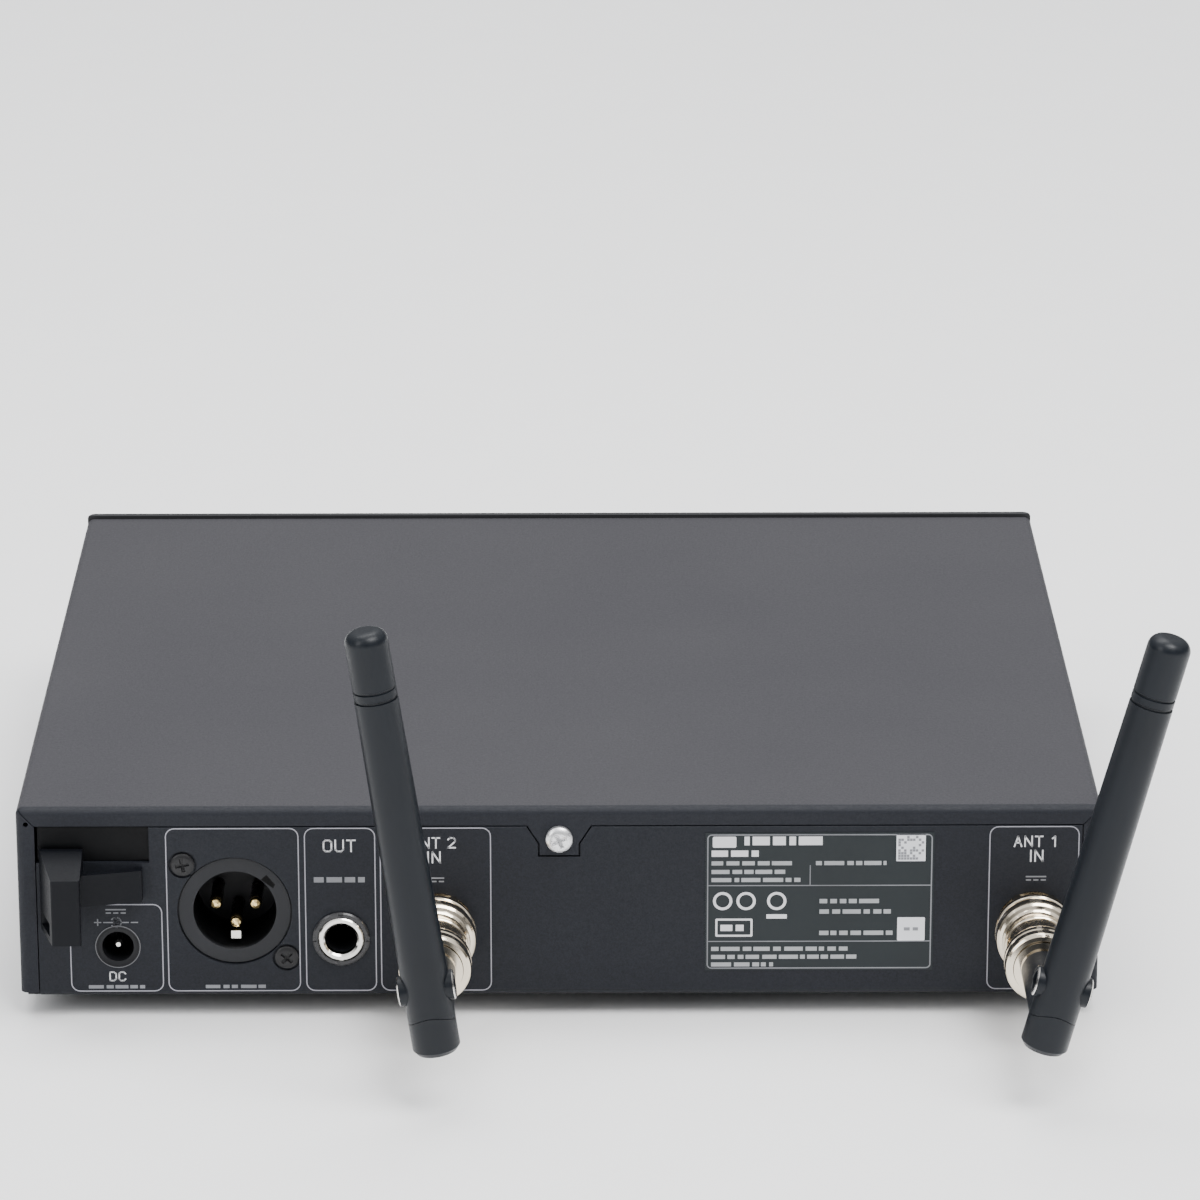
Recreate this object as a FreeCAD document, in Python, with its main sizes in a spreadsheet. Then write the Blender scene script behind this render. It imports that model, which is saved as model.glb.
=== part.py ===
import FreeCAD, Part
import os
import Sketcher

# A half-rack wireless microphone receiver, seen as a bench technician would take it apart.
# Millimetres. +Z is up, -Y is the front with the display, +Y is the rear with the sockets.
# The origin is the centre of the flat underside of the steel case.

doc = FreeCAD.newDocument("WirelessReceiver")

# --------------------------------------------------------------------------------------
# Driving dimensions
# --------------------------------------------------------------------------------------
SIZES = {
    # case
    "case_width": 212, "case_depth": 187, "case_height": 39.4, "sheet": 1.0, "bend": 1.5,
    "cover_gap": 0.3, "cover_lift": 0.9, "lip_depth": 3.6, "flange_width": 3.6,
    "panel_half": 102.2, "panel_top": 35.5, "tray_side": 12,
    "tab_half_top": 6.2, "tab_half": 3.8, "tab_bottom": 29.6, "tab_waist": 32,
    "cover_screw": 33.1,
    "tab_gap": 0.35, "seam": 0.2, "relief_radius": 0.5,
    # feet
    "foot_radius": 6, "foot_height": 4.5, "foot_recess": 0.4, "foot_x": 88, "foot_y": 70,
    # fascia
    "fascia_rim": 2.1, "fascia_rise": 0.7, "fascia_plate": 2.6, "skirt_depth": 7, "skirt_wall": 2, "corner": 2,
    "window_left": -64, "window_right": -4, "window_low": 7.7, "window_high": 31.7,
    "window_ledge": 2, "window_thick": 1.2, "fit_gap": 0.15,
    # front board and buttons
    "front_board_gap": 3, "board_thick": 1.6, "button_row": 19.7,
    "key_width": 11, "key_height": 6.4, "key_flange": 1, "key_proud": 1.2,
    "flange_thick": 0.8, "round_key": 5, "key_travel": 0.5, "switch_size": 5.2,
    "standby_x": -86, "escape_x": 12, "dial_x": 42, "sync_x": 90, "light_x": 68,
    "light_radius": 1.5, "light_step": 7, "dial_radius": 11, "dial_proud": 9,
    "dial_shaft": 3, "dial_gap": 0.9, "shaft_gap": 0.05,
    # main board
    "standoff": 2.8, "standoff_radius": 2.8, "board_half": 96, "board_front": -76,
    "board_rear": 88, "screw_x": 90, "screw_y": 76, "screw_core": 1.2, "screw_head": 2.75,
    # sockets, all heights above the underside
    "dc_x": 86.65, "dc_z": 10.6, "dc_bore": 3.2, "dc_barrel": 3.75, "dc_pin": 0.9,
    "xlr_x": 63.6, "xlr_z": 18, "xlr_ring": 10.95, "xlr_bore": 8.15, "xlr_depth": 15,
    "xlr_pin": 1.2, "xlr_pin_circle": 3.9, "xlr_screw_x": 10.05, "xlr_screw_z": 9.75,
    "xlr_head": 2.3, "xlr_dimple": 2.8, "dimple_depth": 0.5,
    "jack_x": 42.8, "jack_z": 12.2, "jack_bore": 3.2, "jack_bush": 4.6, "jack_nut": 5.6,
    "jack_reach": 0.8, "jack_length": 24,
    "bnc_left": -93, "bnc_right": 24, "bnc_z": 14.6, "bnc_barrel": 4.8, "bnc_inner": 4.1,
    "bnc_reach": 11,
    # antennas, distances out from the rear panel along the socket's axis
    "coupling_start": 2.6, "collar_end": 8.3, "collar_radius": 7.8, "sleeve_radius": 6.1,
    "sleeve_bore": 5.6, "grip_start": 17.6, "grip_end": 22.5, "grip_radius": 7.1,
    "elbow_start": 23, "elbow_radius": 4.1, "rod_out": 47, "rod_base": 4.55, "rod_tip": 4.1,
    "rod_below": 6.2, "hinge_above": 6.6, "cap_start": 64.9, "cap_length": 13.7,
    "lean_left": -15, "lean_right": 8.6, "tongue": 2, "hinge_pin": 2.9, "hinge_end": 5.4,
    "hinge_gap": 0.05, "cheek_gap": 0.1, "knuckle": 3.9, "cheek_reach": 6.5,
    # cable clip
    "clip_left": 101.6, "clip_front_left": 98.6, "clip_right": 93, "clip_out": 10,
    "clip_low": 14.7, "clip_high": 28.3, "clip_root": 31.1, "clip_wall": 1.5,
    "slot_left": 80.1, "slot_low": 28.2, "clip_plate": 1.8,
    # type label
    "label_left": -73.3, "label_right": -28.6, "label_low": 5.3, "label_high": 34.2,
    "label_thick": 0.12,
    # rack-ear nuts in the sides
    "ear_y": -76, "ear_low": 9, "ear_high": 31, "ear_core": 1.65,
}

sheet = doc.addObject("Spreadsheet::Sheet", "Sizes")
for row, (alias, amount) in enumerate(SIZES.items(), start=1):
    sheet.set(f"A{row}", alias)
    sheet.set(f"B{row}", str(amount))
    sheet.setAlias(f"B{row}", alias)
doc.recompute()


class Term:
    """A length worked out from the sheet: its number now, and the formula that gives it."""

    def __init__(self, number, formula):
        self.number = number
        self.formula = formula

    def __add__(self, other):
        other = as_term(other)
        return Term(self.number + other.number, f"({self.formula} + {other.formula})")

    def __sub__(self, other):
        other = as_term(other)
        return Term(self.number - other.number, f"({self.formula} - {other.formula})")

    def __mul__(self, other):
        other = as_term(other)
        return Term(self.number * other.number, f"({self.formula} * {other.formula})")

    def __truediv__(self, other):
        other = as_term(other)
        return Term(self.number / other.number, f"({self.formula} / {other.formula})")

    def __radd__(self, other):
        return as_term(other) + self

    def __rsub__(self, other):
        return as_term(other) - self

    def __rmul__(self, other):
        return as_term(other) * self

    def __neg__(self):
        return Term(-self.number, f"(0 - {self.formula})")

    def __float__(self):
        return float(self.number)


def as_term(amount):
    return amount if isinstance(amount, Term) else Term(float(amount), f"({amount})")


class Sheet:
    """The sheet's cells by name, such as size.sheet."""

    def __getattr__(self, alias):
        return Term(float(sheet.get(alias)), f"Sizes.{alias}")


size = Sheet()
REAR = size.case_depth / 2
SIDE = size.case_width / 2
TOP = size.case_height
FRONT = -REAR
INNER = REAR - size.sheet
BOARD_LOW = size.sheet + size.standoff
BOARD_TOP = BOARD_LOW + size.board_thick
PLATE_BACK = FRONT + size.fascia_plate
FRONT_BOARD = PLATE_BACK + size.front_board_gap
TRAY_FRONT = FRONT + size.fascia_rim + size.skirt_depth

ALONG = {
    "X": FreeCAD.Rotation(FreeCAD.Vector(0, 1, 0), 90),
    "Y": FreeCAD.Rotation(FreeCAD.Vector(1, 0, 0), -90),
    "Z": FreeCAD.Rotation(),
}
PARTS = []


# --------------------------------------------------------------------------------------
# Ways of making a piece
# --------------------------------------------------------------------------------------
def bind(item, path, amount):
    """Tie one property of an object to the sheet."""
    item.setExpression(path, as_term(amount).formula)


def place(item, at, turn=None):
    item.Placement = FreeCAD.Placement(FreeCAD.Vector(), turn or FreeCAD.Rotation())
    for letter, amount in zip("xyz", at):
        bind(item, f"Placement.Base.{letter}", amount)


def subpart(item, label):
    """Give a finished piece its own label and remember it for writing."""
    item.Label = label
    PARTS.append(item)
    return item


def block(name, x, y, z):
    """A box between two limits on each axis."""
    item = doc.addObject("Part::Box", name)
    for prop, (low, high) in zip(("Length", "Width", "Height"), (x, y, z)):
        bind(item, prop, as_term(high) - low)
    place(item, (x[0], y[0], z[0]))
    return item


def bar(name, radius, start, length, along="Y"):
    """A round bar from a start point along one axis."""
    item = doc.addObject("Part::Cylinder", name)
    bind(item, "Radius", radius)
    bind(item, "Height", length)
    place(item, start, ALONG[along])
    return item


def joined(name, pieces):
    item = doc.addObject("Part::MultiFuse", name)
    item.Shapes = pieces
    item.Refine = True
    return item


def cut(name, base, tools):
    item = doc.addObject("Part::Cut", name)
    item.Base = base
    item.Tool = tools[0] if len(tools) == 1 else joined(name + "_tools", tools)
    return item


def group(name, pieces):
    """Identical loose pieces kept as separate solids in one node."""
    item = doc.addObject("Part::Compound", name)
    item.Links = pieces
    return item


def new_body(name, at=(0, 0, 0), turn=None):
    body = doc.addObject("PartDesign::Body", name)
    place(body, at, turn)
    return body


def plane_of(body, role):
    return next(f for f in body.Origin.OriginFeatures if f.Role == role)


def sketch_on(body, name, role, offset=0):
    sketch = body.newObject("Sketcher::SketchObject", name)
    sketch.AttachmentSupport = [(plane_of(body, role), "")]
    sketch.MapMode = "FlatFace"
    bind(sketch, "AttachmentOffset.Base.z", offset)
    return sketch


def pin_point(sketch, line, end, across, up):
    """Hold one end of a line, or a circle's centre, at its two distances from the origin."""
    for kind, amount, axis in (("DistanceX", across, -2), ("DistanceY", up, -1)):
        amount = as_term(amount)
        if amount.number == 0:
            sketch.addConstraint(Sketcher.Constraint("PointOnObject", line, end, axis))
            continue
        first, last = (-1, 1), (line, end)
        if amount.number < 0:
            first, last, amount = last, first, -amount
        held = sketch.addConstraint(Sketcher.Constraint(kind, *first, *last, amount.number))
        sketch.setExpression(f"Constraints[{held}]", amount.formula)


def outline(sketch, points):
    """A closed outline of straight lines through points given as (across, up)."""
    first = sketch.GeometryCount
    spots = [FreeCAD.Vector(float(as_term(a)), float(as_term(b)), 0) for a, b in points]
    for i, spot in enumerate(spots):
        sketch.addGeometry(Part.LineSegment(spot, spots[(i + 1) % len(spots)]), False)
    for i, (across, up) in enumerate(points):
        line, following = first + i, first + (i + 1) % len(points)
        sketch.addConstraint(Sketcher.Constraint("Coincident", line, 2, following, 1))
        pin_point(sketch, line, 1, across, up)


def circle(sketch, across, up, radius):
    centre = FreeCAD.Vector(float(as_term(across)), float(as_term(up)), 0)
    ring = sketch.addGeometry(Part.Circle(centre, FreeCAD.Vector(0, 0, 1), float(as_term(radius))), False)
    held = sketch.addConstraint(Sketcher.Constraint("Radius", ring, float(as_term(radius))))
    sketch.setExpression(f"Constraints[{held}]", as_term(radius).formula)
    pin_point(sketch, ring, 3, across, up)


def rectangle(sketch, x, y):
    outline(sketch, [(x[0], y[0]), (x[1], y[0]), (x[1], y[1]), (x[0], y[1])])


def pad(body, sketch, length, both_ways=False, back=False):
    item = body.newObject("PartDesign::Pad", sketch.Name + "_pad")
    item.Profile = sketch
    bind(item, "Length", length)
    item.Midplane = both_ways
    item.Reversed = back
    return item


def pocket(body, sketch, depth, back=False):
    """Cut a sketch into the body, and make sure that it removed something."""
    doc.recompute()
    before = body.Shape.Volume
    item = body.newObject("PartDesign::Pocket", sketch.Name + "_pocket")
    item.Profile = sketch
    bind(item, "Length", depth)
    item.Reversed = back
    doc.recompute()
    if body.Shape.Volume > before - 1e-3:
        raise ValueError(f"{item.Name} cuts nothing")
    return item


def rounded(body, radius, chosen, kind="Fillet"):
    """Round or chamfer the edges of the body's last feature that the test picks."""
    doc.recompute()
    base = body.Tip
    names = [f"Edge{i}" for i, e in enumerate(base.Shape.Edges, start=1) if chosen(e)]
    if not names:
        raise ValueError(f"no edge to round on {body.Name}")
    item = body.newObject(f"PartDesign::{kind}", f"{body.Name}_{kind}")
    item.Base = (base, names)
    bind(item, "Radius" if kind == "Fillet" else "Size", radius)
    return item


def turned(name, profile, at=(0, 0, 0), turn=None):
    """A piece turned on a lathe: its profile is (radius, distance along the axis)."""
    body = new_body(name, at, turn)
    sketch = sketch_on(body, name + "_profile", "XZ_Plane")
    outline(sketch, profile)
    item = body.newObject("PartDesign::Revolution", name + "_turn")
    item.Profile = sketch
    item.ReferenceAxis = (sketch, ["V_Axis"])
    item.Angle = 360
    return body


def near(value, target, slack=0.02):
    return abs(value - float(target)) < slack


def lies_along(edge, letter):
    box = edge.BoundBox
    spans = {"X": box.XLength, "Y": box.YLength, "Z": box.ZLength}
    length = spans.pop(letter)
    return length > 0.5 and max(spans.values()) < 0.01


# --------------------------------------------------------------------------------------
# Steel case
# --------------------------------------------------------------------------------------
def tab_points(spread, drop):
    """The trapezoid tab round the rear screw, from left to right, grown by spread."""
    return [
        (-size.tab_half_top - spread, TOP - size.lip_depth - drop),
        (-size.tab_half - spread, size.tab_waist),
        (-size.tab_half - spread, size.tab_bottom - spread),
        (size.tab_half + spread, size.tab_bottom - spread),
        (size.tab_half + spread, size.tab_waist),
        (size.tab_half_top + spread, TOP - size.lip_depth - drop),
    ]


def xlr_screw_spots():
    return [(size.xlr_x + hand * size.xlr_screw_x, size.xlr_z + hand * size.xlr_screw_z)
            for hand in (1, -1)]


def make_tray():
    """Floor, rear panel, low front wall and low sides, folded from one sheet."""
    t = size.sheet
    body = new_body("tray_body")
    fold = sketch_on(body, "tray_fold", "YZ_Plane")
    outline(fold, [
        (TRAY_FRONT, 0), (REAR, 0), (REAR, size.panel_top), (INNER, size.panel_top),
        (INNER, t), (TRAY_FRONT + t, t), (TRAY_FRONT + t, size.panel_top),
        (TRAY_FRONT, size.panel_top),
    ])
    pad(body, fold, size.panel_half * 2, both_ways=True)
    # the sides stop short of the rear, where the cover's flanges come in
    inside = SIDE - size.sheet - size.cover_gap
    side_length = REAR - 1.4 - TRAY_FRONT
    ear_length = size.ear_y + 8 - TRAY_FRONT
    for hand, name in ((1, "right"), (-1, "left")):
        for part, height, length in (("side", size.tray_side, side_length), ("ear", 36, ear_length)):
            angle = sketch_on(body, f"tray_{part}_{name}", "XZ_Plane", -TRAY_FRONT)
            outline(angle, [
                (hand * (size.panel_half - 1), 0), (hand * inside, 0), (hand * inside, height),
                (hand * (inside - t), height), (hand * (inside - t), t),
                (hand * (size.panel_half - 1), t),
            ])
            pad(body, angle, length, back=True)
    rounded(body, size.bend, lambda e: lies_along(e, "X") and near(e.BoundBox.YMin, REAR)
            and near(e.BoundBox.ZMin, 0))
    holes = sketch_on(body, "rear_holes", "XZ_Plane", -INNER)
    circle(holes, size.xlr_x, size.xlr_z, size.xlr_ring + 0.3)
    for x, z in xlr_screw_spots():
        circle(holes, x, z, size.screw_core + 0.25)
    circle(holes, size.jack_x, size.jack_z, size.jack_bush + 0.1)
    circle(holes, size.dc_x, size.dc_z, size.dc_barrel + 0.15)
    for x in (size.bnc_left, size.bnc_right):
        circle(holes, x, size.bnc_z, size.bnc_barrel + 0.05)
    pocket(body, holes, t)
    dimples = sketch_on(body, "screw_dimples", "XZ_Plane", -REAR)
    for x, z in xlr_screw_spots():
        circle(dimples, x, z, size.xlr_dimple)
    pocket(body, dimples, size.dimple_depth, back=True)
    open_top = sketch_on(body, "clip_notch", "XZ_Plane", -INNER)
    rectangle(open_top, (size.slot_left, size.panel_half + 0.5), (size.slot_low, size.panel_top + 1))
    pocket(body, open_top, t)
    notch = sketch_on(body, "tab_notch", "XZ_Plane", -INNER)
    outline(notch, tab_points(size.tab_gap, 0))
    pocket(body, notch, t)
    window = sketch_on(body, "front_opening", "XZ_Plane", -TRAY_FRONT)
    rectangle(window, (-size.panel_half + 5, size.panel_half - 5), (5, size.panel_top - 4))
    pocket(body, window, t)
    recess = sketch_on(body, "foot_recesses", "XY_Plane")
    for x in (-size.foot_x, size.foot_x):
        for y in (-size.foot_y, size.foot_y):
            circle(recess, x, y, size.foot_radius + 0.4)
    pocket(body, recess, size.foot_recess, back=True)
    ears = sketch_on(body, "ear_holes", "YZ_Plane", -SIDE)
    for z in (size.ear_low, size.ear_high):
        circle(ears, size.ear_y, z, size.ear_core + 0.05)
    for y in (-20, 60):
        circle(ears, y, 6.5, size.screw_core + 0.05)
    pocket(body, ears, size.case_width, back=True)
    subpart(body, "base_chassis")


def make_cover():
    """Top and sides folded from one sheet, with narrow flanges turned in at the rear."""
    t = size.sheet
    body = new_body("cover_body")
    cover_front = FRONT + size.fascia_rim + 0.25
    low = size.cover_lift
    wall = sketch_on(body, "cover_fold", "XZ_Plane", -REAR)
    outline(wall, [
        (-SIDE, low), (-SIDE, TOP), (SIDE, TOP), (SIDE, low), (SIDE - t, low),
        (SIDE - t, TOP - t), (t - SIDE, TOP - t), (t - SIDE, low),
    ])
    pad(body, wall, REAR - cover_front)
    edge = SIDE - size.flange_width
    flange = sketch_on(body, "cover_flanges", "XZ_Plane", -REAR)
    outline(flange, [
        (t / 2 - SIDE, low), (t / 2 - SIDE, TOP - t / 2), (SIDE - t / 2, TOP - t / 2),
        (SIDE - t / 2, low), (edge, low), (edge, TOP - size.lip_depth),
        *reversed(tab_points(0, 0)), (-edge, TOP - size.lip_depth), (-edge, low),
    ])
    pad(body, flange, t)
    rounded(body, size.bend, lambda e: (
        (lies_along(e, "Y") and near(e.BoundBox.ZMin, TOP) and near(abs(e.BoundBox.XMin), SIDE))
        or (lies_along(e, "X") and near(e.BoundBox.ZMin, TOP) and near(e.BoundBox.YMin, REAR))
        or (lies_along(e, "Z") and near(abs(e.BoundBox.XMin), SIDE) and near(e.BoundBox.YMin, REAR))))
    tab_corner = sketch_on(body, "cover_screw_hole", "XZ_Plane", -REAR)
    circle(tab_corner, 0, size.cover_screw, 1.7)
    for hand in (1, -1):
        # the mitre between the top lip and each side flange, with its bend-relief hole
        inner, outer = edge - 0.4, SIDE - 0.5
        fall = size.lip_depth + 0.4
        outline(tab_corner, [
            (hand * inner, TOP - fall), (hand * (inner + size.seam), TOP - fall),
            (hand * outer, TOP - 0.5), (hand * (outer - size.seam), TOP - 0.5),
        ])
        circle(tab_corner, hand * (SIDE - 2), TOP - 3.2, size.relief_radius)
    pocket(body, tab_corner, t + 0.5, back=True)
    sides = sketch_on(body, "cover_side_holes", "YZ_Plane", -SIDE)
    for z in (size.ear_low, size.ear_high):
        circle(sides, size.ear_y, z, 2.2)
    for y in (-20, 60):
        circle(sides, y, 6.5, 1.6)
    pocket(body, sides, size.case_width, back=True)
    subpart(body, "top_cover")


def pan_screw(name, at, along, head_radius, head_height, core, length, inwards):
    """A pan-head machine screw: at is the middle of the seat under its head."""
    head = turned(name + "_head", [
        (0, 0), (head_radius, 0), (head_radius, head_height * 0.45),
        (head_radius * 0.72, head_height * 0.9), (head_radius * 0.45, head_height),
        (0, head_height),
    ], at, ALONG[along] if inwards < 0 else flipped(along))
    shank_turn = flipped(along) if inwards < 0 else ALONG[along]
    shank = doc.addObject("Part::Cylinder", name + "_shank")
    bind(shank, "Radius", core)
    bind(shank, "Height", length)
    place(shank, at, shank_turn)
    return joined(name, [head, shank])


def flipped(along):
    """The rotation that points a piece the other way along an axis."""
    half_turn = FreeCAD.Rotation(FreeCAD.Vector(0, 0, 1) if along != "Z" else FreeCAD.Vector(1, 0, 0), 180)
    return half_turn * ALONG[along]


def make_case_fasteners():
    bracket = cut("bracket", block("bracket_plate", (-9, 9), (INNER - 1.5, INNER), (24, 37.5)),
                  [bar("bracket_hole", 1.55, (0, INNER - 2, size.cover_screw), 3)])
    subpart(bracket, "screw_bracket")
    subpart(pan_screw("rear_screw", (0, REAR, size.cover_screw), "Y", 2.6, 1.9, 1.5, 6, -1),
            "rear_cover_screw")
    screws = []
    for hand, side in ((1, "right"), (-1, "left")):
        for n, y in enumerate((-20, 60), start=1):
            screws.append(pan_screw(f"side_screw_{side}_{n}", (hand * SIDE, y, 6.5), "X",
                                    2.5, 1.6, size.screw_core, 5, -hand))
    subpart(group("side_screw_set", screws), "side_cover_screws")
    nuts = []
    face = SIDE - size.sheet * 2 - size.cover_gap
    for hand, side in ((1, "right"), (-1, "left")):
        for n, z in enumerate((size.ear_low, size.ear_high), start=1):
            low = face - 3.5 if hand > 0 else -face
            shell = bar(f"ear_nut_{side}_{n}_shell", 3.2, (low, size.ear_y, z), 3.5, "X")
            core = bar(f"ear_nut_{side}_{n}_core", size.ear_core, (low - 1, size.ear_y, z), 5.5, "X")
            nuts.append(cut(f"ear_nut_{side}_{n}", shell, [core]))
    return nuts


def make_feet():
    feet = []
    for x in (-size.foot_x, size.foot_x):
        for y in (-size.foot_y, size.foot_y):
            foot = turned(f"foot_{len(feet) + 1}", [
                (0, size.foot_recess), (size.foot_radius, size.foot_recess),
                (size.foot_radius, -1.5), (size.foot_radius - 0.8, 0.7 - size.foot_height),
                (size.foot_radius - 1.6, -size.foot_height), (2.2, -size.foot_height),
                (1.4, 0.8 - size.foot_height), (0, 0.8 - size.foot_height),
            ], (x, y, 0))
            feet.append(foot)
    subpart(group("foot_set", feet), "rubber_feet")


# --------------------------------------------------------------------------------------
# Front: fascia, display, buttons, lights and the board behind them
# --------------------------------------------------------------------------------------
KEYS = {
    "standby_button": (size.standby_x, size.button_row, "round"),
    "escape_button": (size.escape_x, size.button_row, "bar"),
    "sync_button": (size.sync_x, size.button_row, "round"),
}
LIGHTS = [size.button_row + step * size.light_step for step in (-1, 0, 1)]
BOSSES = [(x, z) for x in (-74, 102 - 3) for z in (6.5, 33)]


def key_outline(sketch, x, z, shape, grow):
    if shape == "round":
        circle(sketch, x, z, size.round_key + grow)
        return
    half_wide, half_tall = size.key_width / 2 + grow, size.key_height / 2 + grow
    rectangle(sketch, (x - half_wide, x + half_wide), (z - half_tall, z + half_tall))


def make_fascia():
    body = new_body("fascia_body")
    rim = sketch_on(body, "fascia_rim_outline", "XZ_Plane", -FRONT)
    rectangle(rim, (-SIDE, SIDE), (0, TOP + size.fascia_rise))
    pad(body, rim, size.fascia_rim, back=True)
    rounded(body, size.corner - 0.2, lambda e: lies_along(e, "Z") and near(e.BoundBox.YMin, FRONT))
    rounded(body, 0.6, lambda e: lies_along(e, "X") and near(e.BoundBox.YMax, FRONT))
    inside = SIDE - size.sheet - size.fit_gap
    top_inside = TOP - size.sheet - size.fit_gap
    step = sketch_on(body, "fascia_step", "XZ_Plane", -FRONT - size.fascia_rim)
    rectangle(step, (-inside, inside), (0, top_inside))
    pad(body, step, size.skirt_depth, back=True)
    hollow = sketch_on(body, "fascia_hollow", "XZ_Plane", -PLATE_BACK)
    rectangle(hollow, (size.skirt_wall - inside, inside - size.skirt_wall),
              (size.skirt_wall, top_inside - size.skirt_wall))
    pocket(body, hollow, size.skirt_depth)
    bosses = sketch_on(body, "board_bosses", "XZ_Plane", -PLATE_BACK)
    for x, z in BOSSES:
        circle(bosses, x, z, 2.4)
    pad(body, bosses, size.front_board_gap, back=True)
    glass = sketch_on(body, "window_ledge_outline", "XZ_Plane", -FRONT)
    rectangle(glass, (size.window_left, size.window_right), (size.window_low, size.window_high))
    pocket(body, glass, size.window_thick + 0.1)
    view = sketch_on(body, "window_opening", "XZ_Plane", -FRONT)
    ledge = size.window_ledge
    rectangle(view, (size.window_left + ledge, size.window_right - ledge),
              (size.window_low + ledge, size.window_high - ledge))
    pocket(body, view, size.fascia_plate)
    openings = sketch_on(body, "key_openings", "XZ_Plane", -FRONT)
    for x, z, shape in KEYS.values():
        key_outline(openings, x, z, shape, size.fit_gap)
    for z in LIGHTS:
        circle(openings, size.light_x, z, size.light_radius + 0.05)
    circle(openings, size.dial_x, size.button_row, size.dial_shaft + 0.5)
    pocket(body, openings, size.fascia_plate)
    screw_holes = sketch_on(body, "boss_holes", "XZ_Plane", -FRONT_BOARD)
    for x, z in BOSSES:
        circle(screw_holes, x, z, 0.95)
    pocket(body, screw_holes, 2.5, back=True)
    subpart(body, "front_fascia")


def make_display():
    gap = size.fit_gap
    body = new_body("window_body")
    sketch = sketch_on(body, "window_outline", "XZ_Plane", -FRONT)
    rectangle(sketch, (size.window_left + gap, size.window_right - gap),
              (size.window_low + gap, size.window_high - gap))
    pad(body, sketch, size.window_thick, back=True)
    rounded(body, 0.25, lambda e: near(e.BoundBox.YMax, FRONT), "Chamfer")
    subpart(body, "display_window")
    ledge = size.window_ledge + gap
    module = joined("display_module_solid", [
        block("display_glass", (size.window_left + ledge, size.window_right - ledge),
              (FRONT + size.window_thick + 0.2, PLATE_BACK + 0.1),
              (size.window_low + ledge, size.window_high - ledge)),
        block("display_frame", (size.window_left, size.window_right),
              (PLATE_BACK + 0.1, FRONT_BOARD), (size.window_low, size.window_high)),
    ])
    subpart(module, "display_module")


def make_buttons():
    """Each key is a cap through the fascia on a wider flange that stops behind it."""
    gap = 0.1
    switches = []
    for name, (x, z, shape) in KEYS.items():
        body = new_body(name + "_body")
        cap = sketch_on(body, name + "_cap", "XZ_Plane", -PLATE_BACK - gap)
        key_outline(cap, x, z, shape, 0)
        pad(body, cap, size.fascia_plate + size.key_proud + gap)
        rounded(body, 0.5, lambda e: near(e.BoundBox.YMax, FRONT - size.key_proud))
        flange = sketch_on(body, name + "_flange", "XZ_Plane", -PLATE_BACK - gap)
        key_outline(flange, x, z, shape, size.key_flange)
        pad(body, flange, size.flange_thick, back=True)
        subpart(body, name)
        half = size.switch_size / 2
        stem_from = PLATE_BACK + gap + size.flange_thick + size.key_travel + 0.1
        stem = bar(name + "_stem", 1.4, (x, stem_from, z), FRONT_BOARD - 0.8 - stem_from)
        base = block(name + "_switch_base", (x - half, x + half), (FRONT_BOARD - 0.8, FRONT_BOARD),
                     (z - half, z + half))
        switches.append(joined(name + "_switch", [stem, base]))
    return switches


def make_dial():
    """A knob that turns on a shaft, and a shaft that is pushed into its encoder."""
    x, z = size.dial_x, size.button_row
    face = FRONT - size.dial_gap - size.dial_proud
    radius, core = size.dial_radius, size.dial_shaft
    hole = core + size.shaft_gap
    knob = turned("dial_knob", [
        (0, 0.5), (radius * 0.55, 0.5), (radius * 0.7, 0), (radius - 0.8, 0), (radius, 0.8),
        (radius, size.dial_proud), (radius - 1.5, size.dial_proud), (radius - 1.5, 3.5), (core + 2, 3.5),
        (core + 2, size.dial_proud), (hole, size.dial_proud), (hole, 3), (0, 3),
    ], (x, face, z), ALONG["Y"])
    subpart(knob, "jog_dial")
    shaft_end = FRONT_BOARD - 0.9
    subpart(joined("dial_shaft_solid", [
        bar("dial_shaft_bar", core, (x, face + 3.2, z), shaft_end - face - 3.2),
        bar("dial_shaft_collar", core + 0.4, (x, FRONT_BOARD - 3.1, z), 0.5),
    ]), "dial_shaft")
    frame = block("encoder_frame", (x - 6, x + 6), (FRONT_BOARD - 2, FRONT_BOARD), (z - 6, z + 6))
    subpart(cut("encoder", frame, [bar("encoder_bore", hole, (x, FRONT_BOARD - 3, z), 4)]),
            "dial_encoder")


def make_lights(switches):
    pipes, lamps = [], []
    for n, z in enumerate(LIGHTS, start=1):
        pipe = turned(f"light_pipe_{n}", [
            (0, 0), (size.light_radius * 0.8, 0), (size.light_radius, 0.3),
            (size.light_radius, size.fascia_plate), (size.light_radius + 0.7, size.fascia_plate + 0.05),
            (size.light_radius + 0.7, size.fascia_plate + 0.8), (0, size.fascia_plate + 0.8),
        ], (size.light_x, FRONT, z), ALONG["Y"])
        pipes.append(pipe)
        lamps.append(block(f"lamp_{n}", (size.light_x - 1, size.light_x + 1),
                           (FRONT_BOARD - 0.7, FRONT_BOARD), (z - 0.6, z + 0.6)))
    subpart(group("light_pipe_set", pipes), "light_pipes")
    subpart(group("front_part_set", switches + lamps), "switches_and_lamps")


def make_front_board():
    board = block("front_board_blank", (-80, SIDE - 4), (FRONT_BOARD, FRONT_BOARD + size.board_thick),
                  (4, TOP - 4.4))
    power = block("front_board_power", (-96, -80), (FRONT_BOARD, FRONT_BOARD + size.board_thick), (8, 32))
    whole = joined("front_board_plate", [board, power])
    holes = [bar(f"front_board_hole_{n}", 1.2, (x, FRONT_BOARD - 1, z), 4)
             for n, (x, z) in enumerate(BOSSES, start=1)]
    subpart(cut("front_board_solid", whole, holes), "front_board")
    seat = FRONT_BOARD + size.board_thick
    screws = [pan_screw(f"front_board_screw_{n}", (x, seat, z), "Y", 1.9, 1.2, 0.9, 3.6, -1)
              for n, (x, z) in enumerate(BOSSES, start=1)]
    return screws


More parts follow.
